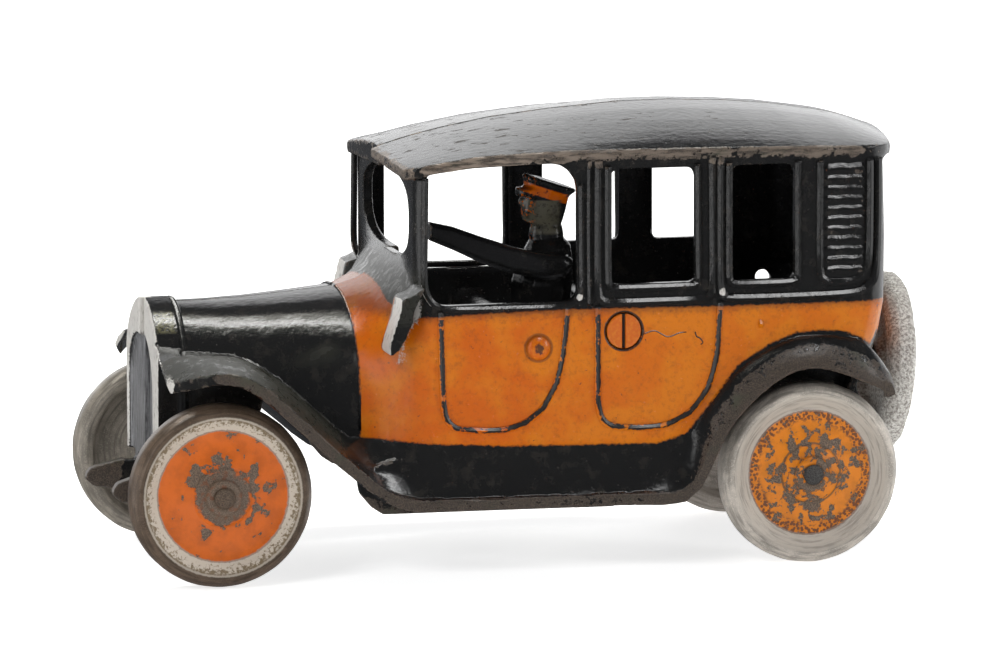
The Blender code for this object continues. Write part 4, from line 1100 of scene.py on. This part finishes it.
def mark_dull(c):
    fender = soft(c.out, 24.0, 27.0) * soft(c.x, 34.0, 28.0)
    fender *= soft(c.z, 63.0, 60.0) * soft(c.z, 28.0, 34.0) * soft(c.up, 0.25, 0.50)
    foot = soft(c.x, 37.0, 39.0) * soft(c.x, 51.0, 49.0)
    foot *= soft(c.z, 62.0, 65.0) * soft(c.z, 78.0, 72.0)
    paint_mark(c.mesh, "dull", np.maximum(fender, 0.8 * foot))


def mark_ridge(c):
    paint_mark(c.mesh, "ridge", np.where(c.bead, 0.12, bulge(c.mesh).clip(0.0, 1.0)))


# %% [markdown]
# ## Brown iron
#
# The fenders' outer edges are bare nearly everywhere, the rear one's crown too. So are the
# roof's edge, the tips of the horns and the underside of the running boards. Each place gets a
# strength between 0 and 1, and the strongest wins. The roof's top keeps its paint.

# %%
# Iron mark
FENDER_EDGE = 44.6
EAVE_OUT, EAVE_Z = 40.4, 99.0


def mark_iron(c):
    iron = 0.62 * soft(c.out, FENDER_EDGE, FENDER_EDGE + 1.0) * soft(c.outward, 0.45, 0.75)
    crown = soft(c.out, FENDER_EDGE - 1.4, FENDER_EDGE - 0.2) * (c.x > 116.0) * (c.z < 62.0)
    eave = 0.74 - 0.16 * soft(c.x, 62.0, 110.0)
    eave = eave * soft(c.out, EAVE_OUT, EAVE_OUT + 0.6) * soft(c.z, EAVE_Z, EAVE_Z + 1.5)
    visor = soft(c.x, 49.0, 46.5) * soft(c.z, 92.0, 96.0)
    horns = soft(c.x, -14.0, -16.0)
    board = soft(c.z, 22.0, 19.0) * soft(c.x, 30.0, 36.0)
    for part in (0.52 * crown, eave, 0.5 * visor, 0.8 * horns, 0.5 * board):
        iron = np.maximum(iron, part)
    top = (c.z > 100.5) & (c.out < 40.0) & (c.x > 50.0)
    paint_mark(c.mesh, "iron", np.where(top, 0.0, iron))


# %% [markdown]
# ## Bright metal
#
# The radiator's shell is rubbed bright, and so is the joint between the halves above its core.
# The core itself lies a little behind the shell, at a depth that differs between the halves.
# The lamp lugs' front faces and two small chips are bright too, and the windscreen's pillars
# have a faint shine.

# %%
# Core and silver marks


def mark_bright(c):
    face = -12.6 if c.side > 0 else -11.4
    ahead = soft(c.front, 0.5, 0.75)
    shell = ahead * (c.x > face - 0.8) * soft(c.x, face + 0.8, face + 0.4)
    core = ahead * soft(c.x, face + 0.6, face + 1.0) * (c.x < face + 2.2) * (c.out < 17.0)
    joint = (c.out < 0.7) * (c.x < -9.5) * 1.0
    core = np.maximum(core, joint * soft(c.z, 57.4, 56.4))
    paint_mark(c.mesh, "core", core * soft(c.z, 19.0, 22.0))
    silver = np.maximum(0.95 * shell, joint) * soft(c.z, 20.0, 26.0)
    pillar = soft(c.front, 0.35, 0.7) * soft(c.x, 52.5, 50.5) * soft(c.z, 70.0, 76.0)
    silver = np.maximum(silver, 0.26 * pillar * (c.x > 40.0))
    lug = soft(c.front, 0.45, 0.7) * (c.x > 38.0) * (c.x < 52.0) * (c.z > 52.0) * (c.z < 72.0)
    silver = np.maximum(silver, 1.1 * lug * soft(c.out, 35.5, 36.5))
    for spot in WHITE_CHIPS:
        silver = np.maximum(silver, 1.2 * dab(c.flat, spot, 1.1) * (c.side < 0) * (c.out > 40.2))
    paint_mark(c.mesh, "silver", silver)


# %% [markdown]
# ## The two half castings
#
# Left and right are separate pieces on the real toy, with a seam along the roof, so they stay
# separate here. Each takes the place of its solid and moves with the body.

# %%
# The two half castings
VOXEL = 0.55
MOST = 110000


def finished(ob, material, node, body):
    ob.data.materials.clear()
    ob.data.materials.append(material)
    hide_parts(node)
    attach(ob, body)
    return ob


for side, word in ((-1, "left"), (1, "right")):
    node = "body_half_" + word
    half = melt("casting_" + word, cad_mesh(node), VOXEL, MOST)
    skin = len(half.data.vertices)
    append(half, body_additions(side))
    casting = Casting(half, side, skin)
    for mark in (mark_orange, mark_lines, mark_dull, mark_ridge, mark_iron, mark_bright):
        mark(casting)
    finished(half, BODY_PAINT, node, "body")

# %% [markdown]
# ## The driver
#
# The driver is a separate small casting, a half figure with one arm forward. It could be
# modelled again with more detail, but old castings of this size have little, so the same remesh
# as the halves', with finer voxels, only softens the solid. Its black enamel has worn brown-grey
# on the face, with orange specks on its front, and a band of orange leans back with the cap.

# %%
# The driver's figure
driver = melt("driver_figure", cad_mesh("driver"), 0.35, 60000, 6)
shade(driver, 6, 40.0)
paint_mark(driver.data, "ridge", bulge(driver.data).clip(0.0, 1.0))

# %%
# The driver's enamel
CAP_LEAN = 0.33


def driver_enamel():
    g = Graph("driver_enamel")
    fine = g.cloud(0.8, 5.0, 0.6)
    grit = g.cloud(0.25, 2.0)
    x, z = g.axis(0), g.axis(2)
    colour = g.tint(g.rise(g.cloud(3.0, 4.0), 0.55, 0.75), BLACK, SOOT_AND_SHADE)
    lean = g.add(z, g.times(g.add(x, -86.8), CAP_LEAN))
    band = g.times(g.rise(lean, 89.4, 89.8), g.rise(lean, 92.2, 91.8))
    band = g.times(band, g.rise(g.cloud(1.6, 4.0), 0.34, 0.42))
    colour = g.tint(band, colour, ORANGE)
    worn = g.rise(g.add(g.mark("ridge"), g.times(g.add(fine, -0.5), 1.4)), 0.62, 0.85)
    worn = g.times(worn, g.rise(z, 79.0, 81.0))
    colour = g.tint(worn, colour, IRON)
    face = g.times(g.rise(z, 80.5, 81.5), g.rise(x, 90.5, 88.5))
    face = g.times(face, g.times(g.rise(z, 89.6, 89.2), g.rise(x, 78.4, 79.0)))
    shaded = g.tint(g.rise(g.cloud(2.6, 4.0), 0.42, 0.66),
                    (0.095, 0.088, 0.064), (0.035, 0.033, 0.026))
    colour = g.tint(g.times(face, g.rise(fine, 0.30, 0.44)), colour, shaded)
    dots = g.times(g.rise(g.cloud(0.9, 3.0), 0.57, 0.60), g.rise(x, 83.6, 82.0))
    dots = g.times(dots, g.times(g.rise(z, 78.6, 79.2), g.rise(x, 79.3, 79.8)))
    colour = g.tint(dots, colour, ORANGE)
    rough = g.level(worn, 0.10, 0.5)
    return g.finish(colour, rough, 0.0, g.bump(g.add(fine, g.times(grit, 0.2)), 0.07))


finished(driver, driver_enamel(), "driver", "body")

# %% [markdown]
# ## Turned pieces
#
# Wheels, axles and the rivet are round. A modeller could stack cylinders, but a profile that is
# spun once round its axis, as on a lathe, gives every groove in one go. The profile's corners
# are cut a little, so that they don't shine like a knife's edge. The full spin merges its first
# and last rows, points on the axis are merged into one pole, and a slow noise moves the surface
# by a tenth of a millimetre, as sand does. That noise would start from the clock, so it gets a
# seed, and every run turns the same wheels.

# %%
# A spun profile
noise.seed_set(7)


def turned(name, profile, steps, lumps=0.0, seed=0.0):
    """A closed (radius, height) profile in millimetres, spun once round Z as on a lathe."""
    bm = bmesh.new()
    verts = [bm.verts.new((radius, 0.0, height)) for radius, height in profile]
    edges = [bm.edges.new((a, b)) for a, b in zip(verts, verts[1:] + verts[:1])
             if max(a.co.x, b.co.x) > 1e-6]
    bmesh.ops.spin(bm, geom=verts + edges, cent=(0.0, 0.0, 0.0), axis=(0.0, 0.0, 1.0),
                   angle=2.0 * math.pi, steps=steps, use_merge=True)
    bmesh.ops.remove_doubles(bm, verts=bm.verts[:], dist=0.0001)
    bmesh.ops.dissolve_degenerate(bm, edges=bm.edges[:], dist=0.0001)
    for vert in bm.verts:
        if lumps:
            vert.co += noise.noise_vector(vert.co / 4.0 + Vector((seed, 0.0, 0.0))) * lumps
    bmesh.ops.recalc_face_normals(bm, faces=bm.faces[:])
    print(name, "faces", len(bm.faces), "open edges", sum(e.is_boundary for e in bm.edges))
    mesh = bpy.data.meshes.new(name)
    bm.to_mesh(mesh)
    bm.free()
    return mesh


def rounded_profile(points, spacing=0.5):
    """Profile through points with small cut corners, closed."""
    out = []
    n = len(points)
    for i in range(n):
        here = np.array(points[i], float)
        for other in (np.array(points[i - 1], float), np.array(points[(i + 1) % n], float)):
            away = other - here
            length = np.linalg.norm(away)
            out.append(here + away * min(spacing, 0.4 * length) / length)
        if here[0] < 1e-6:
            out[-2:] = [here]
    return out


# %%
# A turned piece put in its place


def placed(name, mesh, turn, centre):
    """Object at the origin whose mesh is turned, moved to the centre and in metres."""
    ob = bpy.data.objects.new(name, mesh)
    bpy.context.scene.collection.objects.link(ob)
    mesh.transform(Matrix.Translation(centre) @ turn @ Matrix.Scale(MM, 4))
    if turn.determinant() < 0.0:
        mesh.flip_normals()
    mesh.shade_smooth()
    mesh.set_sharp_from_angle(angle=math.radians(50.0))
    return ob


FACING_LEFT = Matrix.Rotation(math.radians(90.0), 4, "X")
FACING_RIGHT = Matrix.Rotation(math.radians(-90.0), 4, "X")
print("a left wheel's face looks toward", tuple((FACING_LEFT @ Vector((0, 0, 1))).to_3d()))

# %% [markdown]
# ## Cast wheels
#
# A wheel is a dished disc with a hub, a step where the painted field begins and a rounded tyre.
# One profile serves all four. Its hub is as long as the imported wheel's. Colours and wear differ
# from wheel to wheel: dark iron at the front left, light iron and a speckled rim at the rear
# left.

# %%
# The wheel's profile
WHEEL_W = 9.3
HALF = WHEEL_W / 2.0
low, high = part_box("wheel_front_left")
HUB_FACE = -low.y / MM - TRACK
HUB_BACK = TRACK + high.y / MM
WHEEL_PROFILE = [
    (1.95, HUB_FACE), (4.4, HUB_FACE), (4.4, HALF - 0.3), (7.0, HALF - 0.6), (7.2, HALF - 1.3),
    (11.5, HALF - 1.9), (15.7, HALF - 2.4), (17.4, HALF - 1.2), (19.2, HALF - 0.2),
    (20.4, HALF), (21.6, HALF - 1.3), (22.3, HALF - 2.4), (22.5, HALF - 3.6), (22.5, 0.0),
    (22.5, -HALF + 3.2), (21.6, -HALF + 1.3), (20.0, -HALF), (18.2, -HALF + 0.4),
    (17.4, HALF - 4.8), (6.0, HALF - 3.8), (5.0, -HUB_BACK), (1.95, -HUB_BACK)]
print("hub stands out", round(HUB_FACE, 2), "and back", round(HUB_BACK, 2), "mm")

# %%
# Four wheels
WHEELS = {
    "wheel_front_left": dict(tyre=(0.125, 0.088, 0.062), ring=(0.56, 0.50, 0.42),
                             disc=(0.58, 0.112, 0.002), turn=0.0, shift=(0.3, 0.0), patches=0.5,
                             bare_hub=6.6),
    "wheel_rear_left": dict(tyre=(0.56, 0.51, 0.45), ring=(0.50, 0.45, 0.39),
                            disc=(0.66, 0.195, 0.003), turn=7.0, speckled=1.0, patches=0.75,
                            patch_size=2.6, bare_hub=2.2, gloss=0.34, disc_r=15.4),
    "wheel_front_right": dict(tyre=(0.28, 0.25, 0.21), ring=(0.30, 0.28, 0.25),
                              disc=(0.62, 0.155, 0.010), turn=13.0, patches=0.5),
    "wheel_rear_right": dict(tyre=(0.36, 0.32, 0.28), ring=(0.42, 0.37, 0.31),
                             disc=(0.64, 0.20, 0.012), turn=19.0, patches=0.4)}
for node, look in WHEELS.items():
    left = "left" in node
    centre = middle("front_axle" if "front" in node else "rear_axle")
    centre.y = (-1.0 if left else 1.0) * TRACK * MM
    mesh = turned(node, rounded_profile(WHEEL_PROFILE, 0.45), 128, 0.10, look["turn"])
    ob = placed("cast_" + node, mesh, FACING_LEFT if left else FACING_RIGHT, centre)
    look["side"] = -1 if left else 1
    finished(ob, wheel_paint(node + "_paint", node, **look), node, node)

# %% [markdown]
# ## Axles
#
# Each axle is a plain bar, hammered over at both ends so that the wheels can't come off. The
# hammer leaves a low dome. The front one has rusted brown, the rear one is dark.

# %%
# Axles, with heads hammered over the hubs
AXLE_METAL = bare_iron("axle_iron", (0.12, 0.115, 0.11), (0.045, 0.042, 0.040), 0.6, 0.3)
RUSTY_METAL = bare_iron("rusty_iron", (0.15, 0.105, 0.072), (0.060, 0.040, 0.028), 0.9, 0.3, 0.2)


def two_headed(dome, shank):
    """Profile of a pin with the same head at both ends."""
    seat = dome[-1][1]
    return dome + [(shank, seat), (shank, -seat)] + [(r, -h) for r, h in dome[::-1]]


for node, metal in (("front_axle", RUSTY_METAL), ("rear_axle", AXLE_METAL)):
    low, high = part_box(node)
    end = (high.y - low.y) / 2.0 / MM
    dome = [(0.0, end), (1.1, end - 0.06), (1.9, end - 0.28), (2.4, end - 0.6), (2.5, end - 0.9)]
    mesh = turned(node, two_headed(dome, 1.7), 48, 0.05, end)
    ob = placed("forged_" + node, mesh, FACING_LEFT, middle(node))
    finished(ob, metal, node, node)

# %% [markdown]
# ## The rivet through the doors
#
# A long rivet goes through both front doors and shows a domed head on each. It was painted with
# the body, and its crown has worn dark. The colour follows the distance from its centre.

# %%
# The door rivet
low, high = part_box("door_rivet")
end = (high.y - low.y) / 2.0 / MM
dome = [(0.0, end), (1.0, end - 0.08), (1.9, end - 0.36), (2.6, end - 0.8), (3.05, end - 1.25),
        (3.1, end - 1.4)]


def rivet_paint():
    g = Graph("rivet_paint")
    fine = g.cloud(0.8, 5.0, 0.65)
    centre = to_car(middle("door_rivet"))
    away = g.length(g.add(g.axis(0), -float(centre[0])), g.add(g.axis(2), -float(centre[2])))
    colour = g.tint(g.rise(fine, 0.4, 0.7), ORANGE, ORANGE_PALE)
    worn = g.rise(g.add(away, g.times(g.add(fine, -0.5), 3.0)), 1.5, 0.9)
    colour = g.tint(g.times(worn, 0.85), colour, IRON_DARK)
    colour = g.tint(g.times(g.rise(away, 2.5, 3.0), 0.7), colour, ORANGE_DIRT)
    return g.finish(colour, 0.25, 0.0, g.bump(fine, 0.08))


ob = placed("domed_rivet", turned("door_rivet", two_headed(dome, 1.6), 48, 0.04, 1.0),
            FACING_LEFT, middle("door_rivet"))
finished(ob, rivet_paint(), "door_rivet", "body")

# %% [markdown]
# ## The slotted screw
#
# The screw behind the front door pulls the halves together. Its flat head lies flush. The
# imported solid has the slot already, so the head is only softened, and the colour darkens
# with the depth below its face, as painted shade in the slot.

# %%
# The body screw
SLOT_SHADE_DEPTH = (0.35, 0.8)
screw = melt("slotted_screw", cad_mesh("body_screw"), 0.22, 40000, 3)
shade(screw, 4, 30.0)


def screw_paint():
    g = Graph("screw_paint")
    fine = g.cloud(0.8, 5.0, 0.65)
    depth = g.add(g.axis(1), -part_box("body_screw")[0].y / MM)
    colour = g.tint(g.rise(fine, 0.4, 0.7), ORANGE, ORANGE_PALE)
    # Painted shade: the slot darkens with its depth below the head's face.
    colour = g.tint(g.rise(depth, *SLOT_SHADE_DEPTH), colour, SOOT_AND_SHADE)
    return g.finish(colour, 0.4, 0.0, g.bump(fine, 0.08))


finished(screw, screw_paint(), "body_screw", "body")

# %% [markdown]
# ## The spare wheel
#
# The spare is a dished casting, never painted, with the coarsest grain on the toy. Its skin is
# kept lumpy on purpose. The rivet that holds it has a low hammered head like the axles'.

# %%
# The spare wheel and its rivet
SPARE_IRON = bare_iron("spare_iron", (0.80, 0.78, 0.74), (0.30, 0.27, 0.24), 0.2, 0.7, 0.2, 0.5)
spare = melt("cast_spare_wheel", cad_mesh("spare_wheel"), 0.45, 60000, 2, 0.16)
shade(spare, 3, 30.0)
finished(spare, SPARE_IRON, "spare_wheel", "body")
spare_rivet = melt("peened_spare_rivet", cad_mesh("spare_rivet"), 0.2, 30000, 4)
shade(spare_rivet, 4, 30.0)
finished(spare_rivet, AXLE_METAL, "spare_rivet", "body")

# %% [markdown]
# ## The floor
#
# The toy stands on pale paper. A little glow of its own keeps the paper white at a plain light
# level, and it still takes the toy's shadow. Black enamel would mirror it as a grey veil, so
# glossy rays pass it by.

# %%
# Pale floor


def pale(name, glow):
    g = Graph(name)
    g.shader.inputs["Emission Color"].default_value = (1.0, 1.0, 1.0, 1.0)
    g.shader.inputs["Emission Strength"].default_value = glow
    tone = g.tint(g.cloud(200.0, 2.0), (0.80, 0.80, 0.80), (0.84, 0.84, 0.84))
    return g.finish(tone, 0.6, 0.0, None, 0.2)


def sheet(name, corners, glow):
    bm = bmesh.new()
    bm.faces.new([bm.verts.new(corner) for corner in corners])
    ob = bpy.data.objects.new(name, bpy.data.meshes.new(name))
    bm.to_mesh(ob.data)
    bm.free()
    bpy.context.scene.collection.objects.link(ob)
    ob.data.materials.append(pale(name + "_paper", glow))
    ob.visible_glossy = False
    return ob


FLOOR_GAP = 0.0002
floor_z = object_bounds()[0][2] - FLOOR_GAP
sheet("floor", [(-4, -3, floor_z), (4, -3, floor_z), (4, 5, floor_z), (-4, 5, floor_z)], 0.72)
print("floor height, mm:", round(floor_z / MM, 2))

# %% [markdown]
# ## Lamps and reflectors
#
# What shows on black gloss is not the light on it but the lamps it mirrors. A soft key lights
# the orange and isn't mirrored. A wide overhead gives the roof its grey sheen, a long narrow one
# the line along the hood, and two strips the ends. Cards light no paint: they only lend the
# mouldings, the radiator and the fenders something pale to mirror.

# %%
# Lamps


def lamp(name, place, target, size, power, tone=(1.0, 1.0, 1.0)):
    data = bpy.data.lights.new(name, "AREA")
    data.shape = "RECTANGLE"
    data.size, data.size_y = size
    data.energy = power
    data.color = tone
    ob = bpy.data.objects.new(name, data)
    ob.location = place
    ob.rotation_euler = (Vector(target) - Vector(place)).to_track_quat("-Z", "Y").to_euler()
    bpy.context.scene.collection.objects.link(ob)
    return ob


soft_key = lamp("key", (-1.0, -1.1, 1.1), (0.0, 0.0, 0.05), (0.6, 0.5), 9.5)
soft_key.visible_glossy = False
lamp("overhead", (-0.05, 0.27, 1.35), (0.0, 0.0, 0.05), (1.6, 0.5), 10.0, (1.0, 0.99, 0.88))
lamp("glint", (-0.05, 0.22, 1.25), (0.0, 0.0, 0.05), (1.2, 0.09), 8.0)
lamp("strip_left", (-1.25, -0.85, 0.55), (0.0, 0.0, 0.05), (0.08, 0.8), 1.5)
lamp("strip_right", (1.35, -0.75, 0.55), (0.0, 0.0, 0.05), (0.3, 0.8), 6.0)
lamp("backdrop", (0.0, 1.9, 0.7), (0.0, 0.2, 0.05), (3.4, 1.4), 19.0)

# %%
# Reflector cards


def card(name, place, size, glow, tone=(1.0, 1.0, 1.0)):
    """Reflector that only glossy surfaces see, as bright as this."""
    ob = lamp(name, place, (0.0, 0.0, 0.05), size, glow * math.pi * size[0] * size[1], tone)
    ob.visible_diffuse = False
    return ob


card("right_card", (1.8, 0.75, 0.0), (2.4, 1.4), 1.1)
card("left_card", (-1.7, 0.3, 0.0), (1.0, 1.2), 1.3)
card("left_edge", (-1.2, -0.68, -0.1), (0.14, 0.8), 3.0)
card("over_cab", (0.14, -0.23, 0.48), (0.16, 0.10), 12.0)
lights = [ob for ob in bpy.context.scene.objects if ob.type == "LIGHT"]
print("lamps and cards:", len(lights))

# %%
# Faint light from the room
world = bpy.data.worlds.new("room")
bpy.context.scene.world = world
world.use_nodes = True
room = world.node_tree.nodes["Background"].inputs
room["Color"].default_value = (0.9, 0.93, 1.0, 1.0)
room["Strength"].default_value = 0.12
bpy.context.scene.view_settings.view_transform = "Standard"
print("room light", round(room["Strength"].default_value, 2))

# %% [markdown]
# ## The camera
#
# The camera stands where the photographer's did. Its angle, distance and lens were solved from
# the wheels, the axles and the seam between the halves. It looks slightly down on the front
# left, from two metres, through a long lens, so the toy is hardly foreshortened.

# %%
# Camera at the photograph's angle
AZIMUTH, ELEVATION, ROLL = (math.radians(v) for v in (13.24, 8.47, -0.11))
TARGET = Vector((0.00003, 0.0, 0.05415))
DISTANCE = 2.01614
FOCAL_PX = 8115.8
IMAGE_WIDTH = 1000.0
back = Vector((-math.sin(AZIMUTH) * math.cos(ELEVATION),
               -math.cos(AZIMUTH) * math.cos(ELEVATION), math.sin(ELEVATION)))
right = Vector((math.cos(AZIMUTH), -math.sin(AZIMUTH), 0.0))
up = back.cross(right)
right, up = (math.cos(ROLL) * right + math.sin(ROLL) * up,
             -math.sin(ROLL) * right + math.cos(ROLL) * up)
lens = bpy.data.cameras.new("camera")
lens.sensor_width = 36.0
lens.lens = FOCAL_PX * lens.sensor_width / IMAGE_WIDTH
lens.clip_end = 20.0
camera = bpy.data.objects.new("camera", lens)
camera.matrix_world = Matrix.Translation(TARGET + back * DISTANCE) @ Matrix(
    (right, up, back)).transposed().to_4x4()
bpy.context.scene.collection.objects.link(camera)
bpy.context.scene.camera = camera
print("lens, mm:", round(lens.lens, 1))
